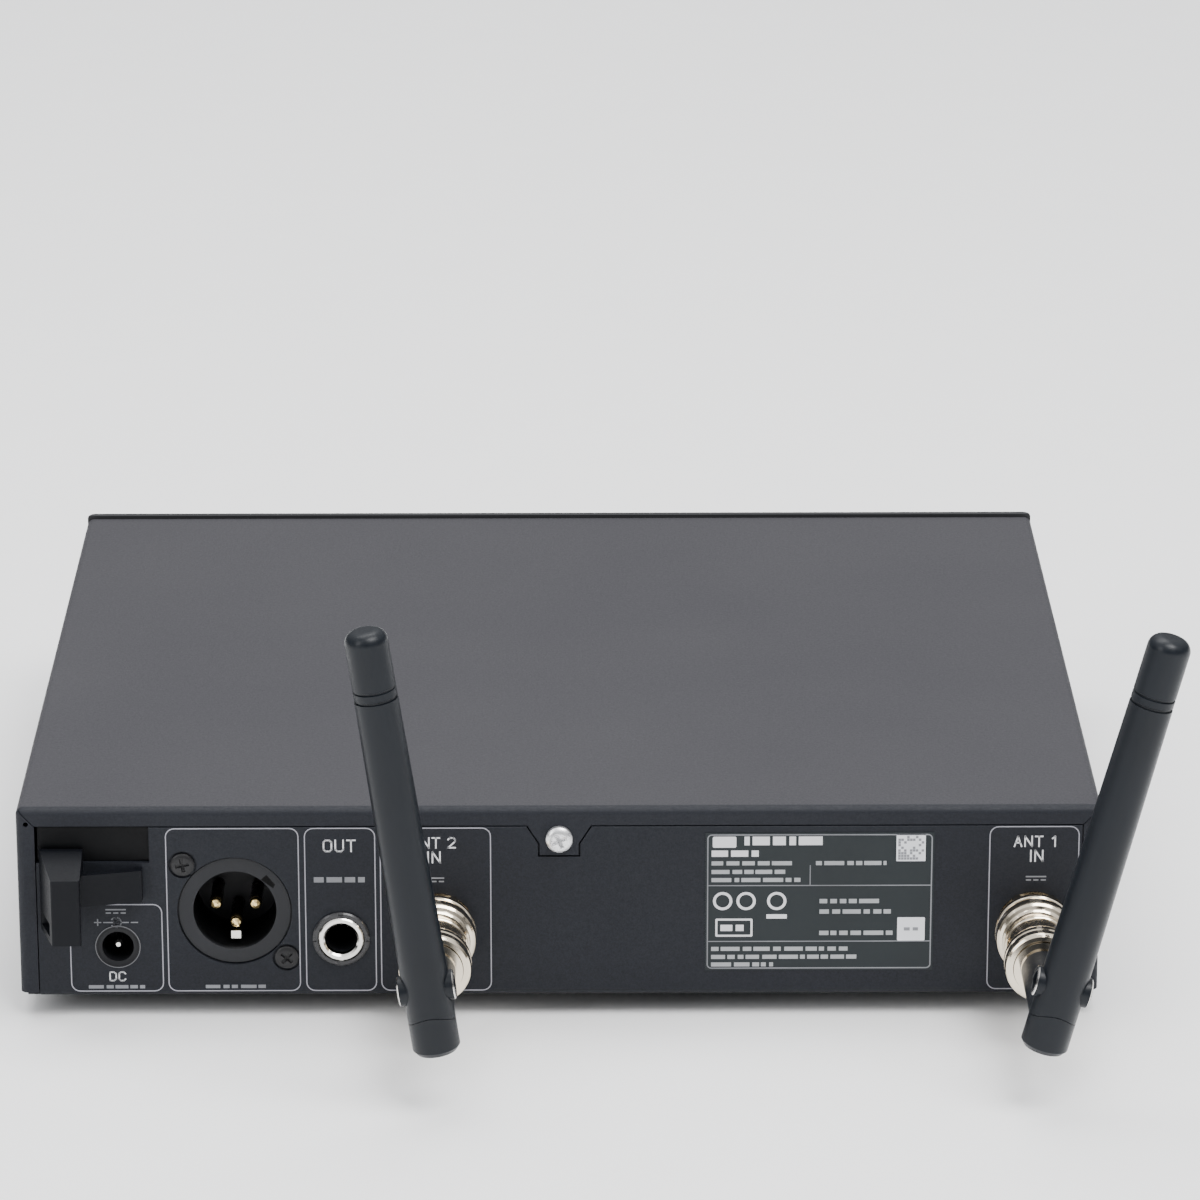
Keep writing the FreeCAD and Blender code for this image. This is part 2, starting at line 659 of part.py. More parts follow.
# --------------------------------------------------------------------------------------
# Inside: main board and what it carries
# --------------------------------------------------------------------------------------
POSTS = [(x, y) for x in (-size.screw_x, 0, size.screw_x) for y in (-size.screw_y + 6, size.screw_y)]


def make_main_board(nuts, front_screws):
    board = block("main_board_blank", (-size.board_half, size.board_half),
                  (size.board_front, size.board_rear), (BOARD_LOW, BOARD_TOP))
    holes, posts, screws = [], [], []
    for n, (x, y) in enumerate(POSTS, start=1):
        holes.append(bar(f"board_hole_{n}", 1.6, (x, y, BOARD_LOW - 1), 5, "Z"))
        post = bar(f"post_{n}_outside", size.standoff_radius, (x, y, size.sheet), size.standoff, "Z")
        bore = bar(f"post_{n}_bore", size.screw_core + 0.05, (x, y, size.sheet), size.standoff + 1, "Z")
        posts.append(cut(f"post_{n}", post, [bore]))
        screws.append(pan_screw(f"board_screw_{n}", (x, y, BOARD_TOP), "Z", size.screw_head, 1.8,
                                size.screw_core, 4, -1))
    subpart(cut("main_board_solid", board, holes), "main_board")
    subpart(group("press_nut_set", posts + nuts), "press_in_nuts")
    subpart(group("board_screw_set", screws + front_screws), "board_screws")


def make_board_parts():
    top = BOARD_TOP
    can = block("can_outside", (-84, 10), (16, 72), (top, top + 9))
    room = block("can_room", (-83.6, 9.6), (16.4, 71.6), (top - 1, top + 8.6))
    vents = [bar(f"can_vent_{n}", 1.1, (-76 + 9 * n, 30, top + 7), 4, "Z") for n in range(9)]
    subpart(cut("can", can, [room] + vents), "radio_shield")
    wide = [(-60, -40, 9), (-20, -34, 7), (40, -30, 10), (66, -6, 5)]
    chips = [block(f"chip_{n}", (x - half, x + half), (y - half, y + half), (top, top + 1.4))
             for n, (x, y, half) in enumerate(wide, start=1)]
    subpart(group("chip_set", chips), "processor_chips")
    cans = [turned(f"capacitor_{n}", [
        (0, 0), (3.6, 0), (4, 0.4), (4, 1.6), (3.7, 2), (4, 2.4), (4, 9.6), (3.6, 10), (0, 10),
    ], (x, y, top)) for n, (x, y) in enumerate([(84, 58), (84, 46), (72, 46), (58, 46), (30, 46)], 1)]
    coils = [block(f"coil_{n}", (x - 5, x + 5), (y - 5, y + 5), (top, top + 5))
             for n, (x, y) in enumerate([(84, 30), (70, 30)], start=1)]
    subpart(group("power_part_set", cans + coils), "power_components")


def make_ribbon():
    """A flat flexible cable that drops from the front board to the main board in one bend."""
    thick, bend, mid, wide = 0.3, 5, -30, 9
    back = FRONT_BOARD + size.board_thick
    z_run, y_drop = 24, -72
    low = BOARD_TOP + 2.5
    run = block("ribbon_run", (mid - wide, mid + wide), (back + 3, y_drop - bend), (z_run, z_run + thick))
    drop = block("ribbon_drop", (mid - wide, mid + wide), (y_drop - thick, y_drop), (low, z_run + thick - bend))
    outer = doc.addObject("Part::Cylinder", "ribbon_bend_outer")
    inner = doc.addObject("Part::Cylinder", "ribbon_bend_inner")
    for item, radius in ((outer, bend), (inner, bend - thick)):
        bind(item, "Radius", radius)
        bind(item, "Height", wide * 2)
        item.Angle = 90
        # a quarter turn whose centre line lies along X, from straight up round to the rear
        item.Placement = FreeCAD.Placement(
            FreeCAD.Vector(mid - wide, y_drop - bend, z_run + thick - bend),
            FreeCAD.Rotation(FreeCAD.Vector(0, 1, 0), FreeCAD.Vector(0, 0, 1), FreeCAD.Vector(1, 0, 0), "ZXY"))
    elbow = cut("ribbon_bend", outer, [inner])
    subpart(joined("ribbon", [run, elbow, drop]), "ribbon_cable")
    ends = (mid - wide - 2, mid + wide + 2)
    upper = block("ribbon_socket_front", ends, (back, back + 3), (z_run - 1.2, z_run + 1.4))
    lower = block("ribbon_socket_main", ends, (y_drop - 1.6, y_drop + 1.3), (BOARD_TOP, low))
    subpart(group("ribbon_socket_set", [upper, lower]), "ribbon_sockets")


# --------------------------------------------------------------------------------------
# Rear sockets
# --------------------------------------------------------------------------------------
def make_dc_inlet():
    x, z = size.dc_x, size.dc_z
    shell = joined("dc_shell", [
        block("dc_block", (x - 4.6, x + 4.6), (INNER - 13.5, INNER), (BOARD_TOP, z + 5.2)),
        bar("dc_nose", size.dc_barrel, (x, INNER, z), size.sheet - 0.15),
    ])
    bore = bar("dc_bore_cut", size.dc_bore, (x, REAR - 11, z), 12)
    subpart(cut("dc_housing", shell, [bore]), "dc_inlet_housing")
    pin = turned("dc_pin_solid", [
        (0, 0), (size.dc_pin, 0), (size.dc_pin, 9.2), (size.dc_pin * 0.5, 9.9), (0, 9.9),
    ], (x, REAR - 11, z), ALONG["Y"])
    subpart(pin, "dc_inlet_pin")


def make_xlr():
    x, z = size.xlr_x, size.xlr_z
    floor = REAR - size.xlr_depth
    holes = xlr_screw_spots()
    solid = joined("xlr_solid", [
        block("xlr_plate", (x - 13, x + 13), (INNER - 2, INNER), (z - 12, z + 12)),
        bar("xlr_face", size.xlr_ring, (x, INNER, z), size.sheet - 0.5),
        bar("xlr_can", size.xlr_bore + 1.5, (x, floor - 4, z), INNER - floor + 3),
    ])
    shell = cut("xlr_shell_solid", solid, [
        bar("xlr_bore_cut", size.xlr_bore, (x, floor - 5, z), 25),
        *[bar(f"xlr_screw_cut_{n}", size.screw_core + 0.05, (sx, INNER - 4, sz), 6)
          for n, (sx, sz) in enumerate(holes, start=1)],
    ])
    subpart(shell, "xlr_shell")
    spots = [(x - size.xlr_pin_circle, z), (x + size.xlr_pin_circle, z), (x, z - size.xlr_pin_circle)]
    insert = cut("xlr_insert_solid", bar("xlr_disc", size.xlr_bore, (x, floor - 4, z), 4), [
        bar(f"xlr_pin_cut_{n}", size.xlr_pin, (px, floor - 5, pz), 7)
        for n, (px, pz) in enumerate(spots, start=1)])
    subpart(insert, "xlr_insert")
    pins = [turned(f"xlr_pin_{n}", [
        (0, -7), (size.xlr_pin, -7), (size.xlr_pin, 10.5), (size.xlr_pin * 0.75, 11.2),
        (size.xlr_pin * 0.3, 11.5), (0, 11.5),
    ], (px, floor, pz), ALONG["Y"]) for n, (px, pz) in enumerate(spots, start=1)]
    subpart(group("xlr_pin_set", pins), "xlr_contacts")
    spring = block("xlr_earth", (x - 0.95, x + 0.95), (floor, REAR - 3.2), (z - 7, z - 5.4))
    subpart(spring, "xlr_earth_contact")
    seat = REAR - size.dimple_depth
    screws = [pan_screw(f"xlr_screw_{n}", (sx, seat, sz), "Y", size.xlr_head, 1, size.screw_core, 2.4, -1)
              for n, (sx, sz) in enumerate(holes, start=1)]
    subpart(group("xlr_screw_set", screws), "xlr_screws")


def make_jack():
    x, z = size.jack_x, size.jack_z
    box = block("jack_block", (x - 7, x + 7), (INNER - size.jack_length - 2, INNER), (BOARD_TOP, z + 6.3))
    springs, seats = [], []
    for n, dx in enumerate((-1.1, 1.1), start=1):
        for name, kept, high in (("spring", springs, 3.25), ("seat", seats, 2.9)):
            kept.append(block(f"jack_{name}_{n}", (x + dx - 0.5, x + dx + 0.5), (INNER - 20, INNER - 9),
                              (z - 4.2, z - high)))
    bore = bar("jack_bore_cut", size.jack_bore, (x, INNER - size.jack_length, z), size.jack_length + 1)
    subpart(cut("jack_housing_solid", box, [bore] + seats), "jack_housing")
    end = size.sheet + size.jack_reach
    bush = turned("jack_bush_solid", [
        (size.jack_bore, 0), (size.jack_bush, 0), (size.jack_bush, end - 0.4),
        (size.jack_bush - 0.4, end), (size.jack_bore + 0.35, end), (size.jack_bore, end - 0.35),
    ], (x, INNER, z), ALONG["Y"])
    face = REAR + size.jack_reach
    notch = block("jack_bush_notch", (x - 0.45, x + 0.45), (face - 0.5, face + 0.2),
                  (z - size.jack_bush - 0.5, z - size.jack_bore - 0.45))
    subpart(cut("jack_bush", bush, [notch]), "jack_bushing")
    nut = turned("jack_nut_solid", [
        (size.jack_bush + 0.03, 0.05), (size.jack_nut, 0.05), (size.jack_nut, 0.4),
        (size.jack_nut - 0.3, 0.65), (size.jack_bush + 0.03, 0.65),
    ], (x, REAR, z), ALONG["Y"])
    slots = [block(f"jack_nut_slot_{n}", (x - 0.5 + dx, x + 0.5 + dx), (REAR + 0.35, REAR + 1),
                   (z - 0.5 + dz, z + 0.5 + dz))
             for n, (dx, dz) in enumerate([(5.4, 0), (-5.4, 0), (0, 5.4), (0, -5.4)], start=1)]
    subpart(cut("jack_nut_cut", nut, slots), "jack_nut")
    subpart(group("jack_spring_set", springs), "jack_contacts")


def make_bnc_sockets():
    nuts, washers, cores, pins = [], [], [], []
    for n, x in ((1, size.bnc_left), (2, size.bnc_right)):
        z = size.bnc_z
        at = (x, REAR, z)
        turn = ALONG["Y"]
        barrel = turned(f"bnc_{n}_barrel", [
            (size.bnc_inner, 3), (size.bnc_inner, size.bnc_reach), (size.bnc_barrel - 0.2, size.bnc_reach),
            (size.bnc_barrel, size.bnc_reach - 0.4), (size.bnc_barrel, -1.0), (7, -1.0),
            (7, -2.8), (size.bnc_inner, -2.8), (size.bnc_inner, -10), (3.2, -10), (3.2, 3),
        ], at, turn)
        foot = block(f"bnc_{n}_foot", (x - 6.4, x + 6.4), (REAR - 14, REAR - 2.8), (BOARD_TOP, z + 6))
        foot_bore = bar(f"bnc_{n}_foot_bore", 4.1, (x, REAR - 12, z), 10)
        lugs = bar(f"bnc_{n}_lugs", 0.95, (x - 5.4, REAR + 9, z), 10.8, "X")
        clear = bar(f"bnc_{n}_clear", size.bnc_inner + 0.2, (x, REAR + 4, z), 10)
        body = joined(f"bnc_{n}_body", [barrel, cut(f"bnc_{n}_block", foot, [foot_bore]),
                                        cut(f"bnc_{n}_lug_ends", lugs, [clear])])
        subpart(body, f"bnc_socket_{n}")
        nuts.append(make_hex_nut(f"bnc_{n}_nut", x, z))
        washers.append(turned(f"bnc_{n}_washer", [
            (size.bnc_barrel + 0.02, 0), (7.2, 0), (7.2, 0.5), (size.bnc_barrel + 0.02, 0.5),
        ], at, turn))
        cores.append(turned(f"bnc_{n}_core", [
            (0.95, -9), (3.2, -9), (3.2, 2), (2.2, 2), (2.2, 4), (0.95, 4),
        ], at, turn))
        pins.append(turned(f"bnc_{n}_pin", [
            (0, -12), (0.95, -12), (0.95, 4), (0.7, 4), (0.7, -4), (0, -4),
        ], at, turn))
    subpart(group("bnc_nut_set", nuts + washers), "bnc_nuts")
    subpart(group("bnc_core_set", cores), "bnc_insulators")
    subpart(group("bnc_pin_set", pins), "bnc_centre_contacts")


def make_hex_nut(name, x, z):
    prism = doc.addObject("Part::Prism", name + "_prism")
    prism.Polygon = 6
    bind(prism, "Circumradius", 7.6)
    bind(prism, "Height", 1.9)
    place(prism, (x, REAR + 0.5, z), ALONG["Y"])
    return cut(name, prism, [bar(name + "_bore", size.bnc_barrel + 0.02, (x, REAR, z), 4)])


# --------------------------------------------------------------------------------------
# Antennas, each built upright with its socket's axis along Y, then leaned over as a whole
# --------------------------------------------------------------------------------------
def leaned(item, x, lean):
    """Put a finished antenna piece on its socket's axis and lean it round that axis."""
    whole = group(item.Name + "_leaned", [item])
    place(whole, (x, REAR, size.bnc_z), FreeCAD.Rotation(FreeCAD.Vector(0, 1, 0), float(lean)))
    return whole


def make_antenna(number, x, lean):
    name = f"antenna_{number}"
    along = ALONG["Y"]
    sleeve = size.sleeve_radius
    wide, grip = size.collar_radius, size.grip_radius
    lip, first, last = size.collar_end, size.grip_start, size.grip_end
    coupling = turned(name + "_coupling_solid", [
        (size.sleeve_bore, size.coupling_start), (wide - 0.6, size.coupling_start),
        (wide - 0.15, size.coupling_start + 0.15), (wide, size.coupling_start + 0.6), (wide, 4.2),
        (wide - 0.2, 4.45), (wide - 0.7, 4.6), (wide - 0.7, 5.1), (wide - 0.2, 5.25), (wide, 5.5),
        (wide, lip - 1.2), (wide - 0.15, lip - 0.75), (wide - 0.55, lip - 0.35), (wide - 1.1, lip - 0.1),
        (sleeve + 0.45, lip + 0.1), (sleeve + 0.15, lip + 0.4), (sleeve, lip + 0.9),
        (sleeve, 10.6), (sleeve + 0.2, 10.8), (sleeve + 0.2, 11.3), (sleeve, 11.5),
        (sleeve, first - 1), (sleeve + 0.15, first - 0.6), (grip - 0.45, first - 0.2),
        (grip - 0.1, first + 0.15), (grip, first + 0.6), (grip, 19.4), (grip - 0.35, 19.6),
        (grip - 0.35, 19.95), (grip, 20.15), (grip, last - 0.8), (grip - 0.15, last - 0.3),
        (grip - 0.55, last), (size.sleeve_bore, last),
    ], (0, 0, 0), along)
    windows = bar(name + "_windows", 1.3, (-9, 13.4, 0), 18, "X")
    ring = cut(name + "_coupling_ring", coupling, [windows])
    subpart(leaned(ring, x, lean), name + "_coupling")

    plug = turned(name + "_plug_solid", [
        (1.9, 4.6), (size.bnc_inner - 0.1, 4.6), (size.bnc_inner - 0.1, size.bnc_reach + 0.3),
        (size.sleeve_bore - 0.1, size.bnc_reach + 0.3), (size.sleeve_bore - 0.1, size.elbow_start),
        (size.elbow_radius, size.elbow_start), (size.elbow_radius, size.elbow_start + 0.6),
        (1.9, size.elbow_start + 0.6),
    ], (0, 0, 0), along)
    subpart(leaned(plug, x, lean), name + "_plug")
    tip = turned(name + "_tip_solid", [
        (0, -2), (0.35, -2), (0.65, -1.4), (0.65, 12), (1.85, 12), (1.85, size.elbow_start + 0.5),
        (0, size.elbow_start + 0.5),
    ], (0, 0, 0), along)
    subpart(leaned(tip, x, lean), name + "_centre_pin")

    make_elbow(name, x, lean)
    make_rod(name, x, lean)


def wedge(name, out, pivot, half, corners):
    """A flat plate across the hinge: corners are (y, z) distances from the hinge pin's centre."""
    body = new_body(name)
    sketch = sketch_on(body, name + "_outline", "YZ_Plane")
    outline(sketch, [(out + y, pivot + z) for y, z in corners])
    pad(body, sketch, half * 2, both_ways=True)
    return body


def make_elbow(name, x, lean):
    """A right-angle knee: a round stub on the plug and a barrel whose flat tongue carries the hinge."""
    out, pivot = size.rod_out, size.hinge_above
    half = size.tongue / 2
    stub = bar(name + "_stub", size.elbow_radius, (0, size.elbow_start + 0.6, 0),
               out - size.elbow_start - 0.6)
    barrel = turned(name + "_barrel", [
        (0, -size.rod_below), (size.rod_base - 0.7, -size.rod_below),
        (size.rod_base, 0.9 - size.rod_below), (size.rod_base, pivot), (0, pivot),
    ], (0, out, 0))
    # the round hollow that the rod's lower end swings in
    hollow = bar(name + "_hollow", size.cheek_reach + 0.1, (-8, out, pivot), 16, "X")
    knee = cut(name + "_knee_cut", joined(name + "_knee", [stub, barrel]), [hollow])
    # the tongue: a disc round the pin, held from behind and below by a rib on the stub
    disc = bar(name + "_tongue_disc", size.knuckle, (-half, out, pivot), size.tongue, "X")
    rib = wedge(name + "_rib", out, pivot, half, [(0, 0), (-6.4, -0.5), (-8.5, -2.6), (-8.5, -5.5), (-6.59, -5.53)])
    bore = bar(name + "_pin_bore", size.hinge_pin, (-6, out, pivot), 12, "X")
    elbow = cut(name + "_elbow_solid", joined(name + "_elbow_blank", [knee, disc, rib]), [bore])
    subpart(leaned(elbow, x, lean), name + "_elbow")
    end, rim = size.hinge_end, size.hinge_pin
    pin = turned(name + "_hinge_pin_solid", [
        (0, 0.6 - end), (rim - 1.1, 0.6 - end), (rim - 1.1, -end), (rim - 0.3, -end), (rim, 0.3 - end),
        (rim, end - 0.3), (rim - 0.3, end), (rim - 1.1, end), (rim - 1.1, end - 0.6), (0, end - 0.6),
    ], (0, out, pivot), ALONG["X"])
    subpart(leaned(pin, x, lean), name + "_hinge_pin")


def make_rod(name, x, lean):
    """The rod's lower end is slotted from behind and turns on the pin round the knee's tongue."""
    out, pivot = size.rod_out, size.hinge_above
    reach, start = size.cheek_reach, size.cap_start
    shaft = turned(name + "_shaft", [
        (0, pivot - reach - 0.5), (size.rod_base, pivot - reach - 0.5), (size.rod_base, pivot + 5),
        (size.rod_tip + 0.05, start), (0, start),
    ], (0, out, 0))
    blank = block(name + "_end_blank", (-6, 6), (out - 7, out + 7), (pivot - reach - 1, pivot))
    corners = cut(name + "_end_corners", blank, [bar(name + "_end_round", reach, (-7, out, pivot), 14, "X")])
    half = size.tongue / 2 + size.cheek_gap
    # the slot runs from the front lower edge round behind to just above the pin, a little past the rib
    slot = wedge(name + "_slot", out, pivot, half, [(0, 0), (8.03, -8.92), (-8, -14), (-11.74, 2.5)])
    crown = bar(name + "_slot_crown", size.knuckle + 0.15, (-half, out, pivot), half * 2, "X")
    bore = bar(name + "_rod_bore", size.hinge_pin + size.hinge_gap, (-6, out, pivot), 12, "X")
    core = pivot + 7
    hollow = bar(name + "_core_hole", 1.3, (0, out, core), start, "Z")
    rod = cut(name + "_rod_solid", shaft, [corners, slot, crown, bore, hollow])
    subpart(leaned(rod, x, lean), name + "_rod")
    wire = bar(name + "_wire", 1.2, (0, out, core), start - core, "Z")
    subpart(leaned(wire, x, lean), name + "_element")
    wide, neck = size.rod_tip, size.rod_tip - 0.3
    cap = turned(name + "_cap_solid", [
        (0, start), (neck, start), (neck, start + 0.45), (wide, start + 0.6), (wide, start + 1.9),
        (neck, start + 2.05), (neck, start + 2.3), (wide, start + 2.45),
        (wide, start + size.cap_length), (0, start + size.cap_length),
    ], (0, out, 0))
    rounded(cap, 2.4, lambda e: near(e.BoundBox.ZMin, start + size.cap_length)
            and e.BoundBox.XLength > 1)
    subpart(leaned(cap, x, lean), name + "_cap")


# --------------------------------------------------------------------------------------
# Cable clip and type label on the rear panel
# --------------------------------------------------------------------------------------
def make_cable_clip():
    """A moulded hook and a slanting keeper bar that take the load off the supply lead."""
    body = new_body("clip_body")
    plan = sketch_on(body, "clip_plan", "XY_Plane", size.clip_low)
    tip = REAR + size.clip_out
    outline(plan, [
        (size.clip_right, REAR), (size.clip_left, REAR), (size.clip_front_left, tip), (size.clip_right, tip),
    ])
    pad(body, plan, size.clip_root - size.clip_low)
    room = sketch_on(body, "clip_room", "XY_Plane", size.clip_low - 1)
    wall = size.clip_wall
    outline(room, [
        (size.clip_right - 1, REAR - 0.5), (size.clip_left - wall, REAR - 0.5),
        (size.clip_front_left - wall * 1.1, tip - wall), (size.clip_right - 1, tip - wall),
    ])
    pocket(body, room, size.clip_high - size.clip_low - 0.4, back=True)
    slope = sketch_on(body, "clip_slope", "YZ_Plane", size.clip_right - 2)
    outline(slope, [
        (REAR + 0.6, size.clip_root + 0.2), (tip + 1, size.clip_root + 0.2), (tip + 1, size.clip_high - 0.4),
    ])
    pocket(body, slope, 14, back=True)
    mouth = sketch_on(body, "clip_mouth", "YZ_Plane", size.clip_right + 3)
    rectangle(mouth, (REAR + 1, tip - wall - 0.5), (size.clip_low + 1.2, size.clip_low + 3.9))
    pocket(body, mouth, 10, back=True)
    rounded(body, 0.5, lambda e: near(e.BoundBox.YMin, tip) and lies_along(e, "Z"))
    z_low, z_high = 20.8, size.clip_high - 1
    keeper = new_body("keeper_body")
    strip = sketch_on(keeper, "keeper_plan", "XY_Plane", z_low)
    far, root = size.slot_left + 1.4, size.clip_right + 0.8
    outline(strip, [
        (root, REAR + 3.4), (root, REAR + 4.9), (far, REAR + 2.1), (far, REAR), (far + 1.5, REAR),
        (far + 1.5, REAR + 1.0),
    ])
    pad(keeper, strip, z_high - z_low)
    # the hook passes through the panel's notch to a plate that sits against the panel's inside
    bridge = block("clip_bridge", (size.clip_right + 1, size.clip_left - 0.6), (INNER - 0.2, REAR + 0.2),
                   (size.slot_low + 0.2, size.clip_root - 0.3))
    plate = block("clip_back_plate", (size.slot_left - 1.5, size.panel_half - 0.3),
                  (INNER - size.clip_plate, INNER), (size.slot_low - 1.5, size.panel_top - 0.2))
    subpart(joined("clip_solid", [body, keeper, bridge, plate]), "cable_clip")


def make_label():
    label = block("label_plate", (size.label_left, size.label_right), (REAR, REAR + size.label_thick),
                  (size.label_low, size.label_high))
    subpart(label, "type_label")


# --------------------------------------------------------------------------------------
# Build, check and write
# --------------------------------------------------------------------------------------
make_tray()
make_cover()
ear_nuts = make_case_fasteners()
make_feet()
make_fascia()
make_display()
key_switches = make_buttons()
make_dial()
make_lights(key_switches)
front_board_screws = make_front_board()
make_main_board(ear_nuts, front_board_screws)
make_board_parts()
make_ribbon()
make_dc_inlet()
make_xlr()
make_jack()
make_bnc_sockets()
make_antenna(1, size.bnc_left, size.lean_left)
make_antenna(2, size.bnc_right, size.lean_right)
make_cable_clip()
make_label()
doc.recompute()

failed = [o.Name for o in doc.Objects if {"Invalid", "Error"} & set(o.State)]
if failed:
    raise RuntimeError(f"these objects failed: {failed}")
for item in PARTS:
    if item.Shape.isNull() or not item.Shape.isValid():
        raise RuntimeError(f"{item.Label} has no valid shape")

os.makedirs("parts", exist_ok=True)
for item in PARTS:
    item.Shape.exportStep(f"parts/{item.Label}.step")
    print(f"{item.Label:26s} {len(item.Shape.Solids):2d} solids {item.Shape.Volume:10.1f} mm3")
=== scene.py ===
import math
import random

import bmesh
import bpy
from mathutils import Matrix, Vector


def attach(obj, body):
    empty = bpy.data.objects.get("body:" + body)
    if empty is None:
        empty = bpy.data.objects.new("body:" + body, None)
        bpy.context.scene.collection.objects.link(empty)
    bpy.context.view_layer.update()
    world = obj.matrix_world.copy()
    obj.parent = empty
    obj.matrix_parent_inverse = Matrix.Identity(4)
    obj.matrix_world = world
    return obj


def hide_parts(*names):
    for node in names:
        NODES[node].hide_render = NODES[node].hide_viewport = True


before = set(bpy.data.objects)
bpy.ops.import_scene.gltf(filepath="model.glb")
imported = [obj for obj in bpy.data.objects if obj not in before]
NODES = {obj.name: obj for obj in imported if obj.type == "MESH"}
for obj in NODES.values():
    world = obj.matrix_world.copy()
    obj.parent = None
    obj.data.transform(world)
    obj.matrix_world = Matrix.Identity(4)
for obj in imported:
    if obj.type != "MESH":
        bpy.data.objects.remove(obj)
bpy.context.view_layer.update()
MM = 0.001

# ---------------------------------------------------------------------------------------
# Sizes shared with the CAD model, in millimetres
# ---------------------------------------------------------------------------------------
REAR = 93.5
FRONT = -93.5
SIDE = 106
XLR = (63.6, 18.0)
DC = (86.65, 10.6)
LABEL = (-73.3, -28.6, 5.3, 34.2)
ROW = 19.7
FOOTING = -4.53
BNC_Z = 14.6
ANTENNAS = {1: (-93, -15.0), 2: (24, 8.6)}
ROD_OUT = 47
HINGE_UP = 6.6


# ---------------------------------------------------------------------------------------
# Materials: each is a small node tree on object coordinates, which are metres
# ---------------------------------------------------------------------------------------
class Nodes:
    """Shorthand for building one material's node tree."""

    def __init__(self, name):
        self.material = bpy.data.materials.new(name)
        self.material.use_nodes = True
        self.tree = self.material.node_tree
        self.shader = self.tree.nodes["Principled BSDF"]
        self.coords = self.add("ShaderNodeTexCoord").outputs["Object"]
        self.height = None

    def add(self, kind, **inputs):
        node = self.tree.nodes.new(kind)
        for key, value in inputs.items():
            socket = node.inputs[key.replace("_", " ")]
            if isinstance(value, bpy.types.NodeSocket):
                self.tree.links.new(value, socket)
            else:
                socket.default_value = value
        return node

    def noise(self, scale, detail=2.0, stretch=None):
        where = self.coords
        if stretch:
            where = self.add("ShaderNodeMapping", Vector=self.coords, Scale=stretch).outputs[0]
        return self.add("ShaderNodeTexNoise", Vector=where, Scale=scale, Detail=detail).outputs[0]

    def spread(self, source, low, high, start=0.3, end=0.7):
        node = self.add("ShaderNodeMapRange", Value=source)
        node.inputs["From Min"].default_value = start
        node.inputs["From Max"].default_value = end
        node.inputs["To Min"].default_value = low
        node.inputs["To Max"].default_value = high
        return node.outputs[0]

    def along(self, letter, start, end, low=0.0, high=1.0):
        """Runs from low to high as the object's own X, Y or Z goes from start to end millimetres."""
        parts = self.add("ShaderNodeSeparateXYZ", Vector=self.coords)
        return self.spread(parts.outputs[letter], low, high, start * MM, end * MM)

    def multiply(self, one, other):
        node = self.tree.nodes.new("ShaderNodeMix")
        node.data_type = "RGBA"
        node.blend_type = "MULTIPLY"
        node.inputs[0].default_value = 1.0
        self.tree.links.new(one, node.inputs[6])
        self.tree.links.new(other, node.inputs[7])
        return node.outputs[2]

    def tint(self, factor, dark, light):
        node = self.tree.nodes.new("ShaderNodeMix")
        node.data_type = "RGBA"
        self.tree.links.new(factor, node.inputs[0])
        node.inputs[6].default_value = (*dark, 1)
        node.inputs[7].default_value = (*light, 1)
        return node.outputs[2]

    def plug(self, source, socket):
        self.tree.links.new(source, self.shader.inputs[socket])

    def bump(self, source, distance, strength=1.0):
        node = self.add("ShaderNodeBump", Height=source, Strength=strength, Distance=distance)
        if self.height:
            self.tree.links.new(self.height, node.inputs["Normal"])
        self.height = node.outputs[0]
        self.plug(self.height, "Normal")


def finish_of(name, colour, rough, metal=0.0, vary=0.12, grain=900, depth=0.00002, spread=0.06,
              stretch=None, coat=0.0, specular=0.5):
    """A surface with a fine grain, a slow drift of colour and a matching drift of roughness."""
    build = Nodes(name)
    fine = build.noise(grain, 3.0, stretch)
    slow = build.noise(45, 2.0)
    dark = [c * (1 - vary) for c in colour]
    light = [min(1, c * (1 + vary)) for c in colour]
    build.plug(build.tint(build.spread(slow, 0, 1), dark, light), "Base Color")
    build.plug(build.spread(fine, max(0.02, rough - spread), min(1, rough + spread)), "Roughness")
    build.shader.inputs["Metallic"].default_value = metal
    build.shader.inputs["Coat Weight"].default_value = coat
    build.shader.inputs["Specular IOR Level"].default_value = specular
    if depth:
        build.bump(fine, depth)
    return build.material


def powder_coat(name, colour, edge=None):
    """Fine textured paint. edge is (axis, start, end, tint): painted light, a tint multiplied into the paint
    beyond that place, painted shade where the tint is under one and a painted highlight where it is over one.
    """
    build = Nodes(name)
    grain = build.noise(3600, 3.0)
    pimple = build.noise(1500, 2.0)
    slow = build.noise(16, 2.0)
    base = build.tint(build.spread(grain, 0, 1, 0.35, 0.65), [c * 0.82 for c in colour],
                      [c * 1.2 for c in colour])
    drift = build.tint(build.spread(slow, 0, 1), (0.93, 0.93, 0.94), (1.05, 1.05, 1.04))
    paint = build.multiply(base, drift)
    if edge:
        axis, start, end, tint = edge
        painted_light_band = build.along(axis, start, end)
        paint = build.multiply(paint, build.tint(painted_light_band, (1, 1, 1), tint))
    build.plug(paint, "Base Color")
    build.plug(build.spread(pimple, 0.5, 0.66), "Roughness")
    build.shader.inputs["Specular IOR Level"].default_value = COAT_SPECULAR
    build.bump(grain, 0.000025, 0.5)
    build.bump(pimple, 0.00003, 0.4)
    return build.material


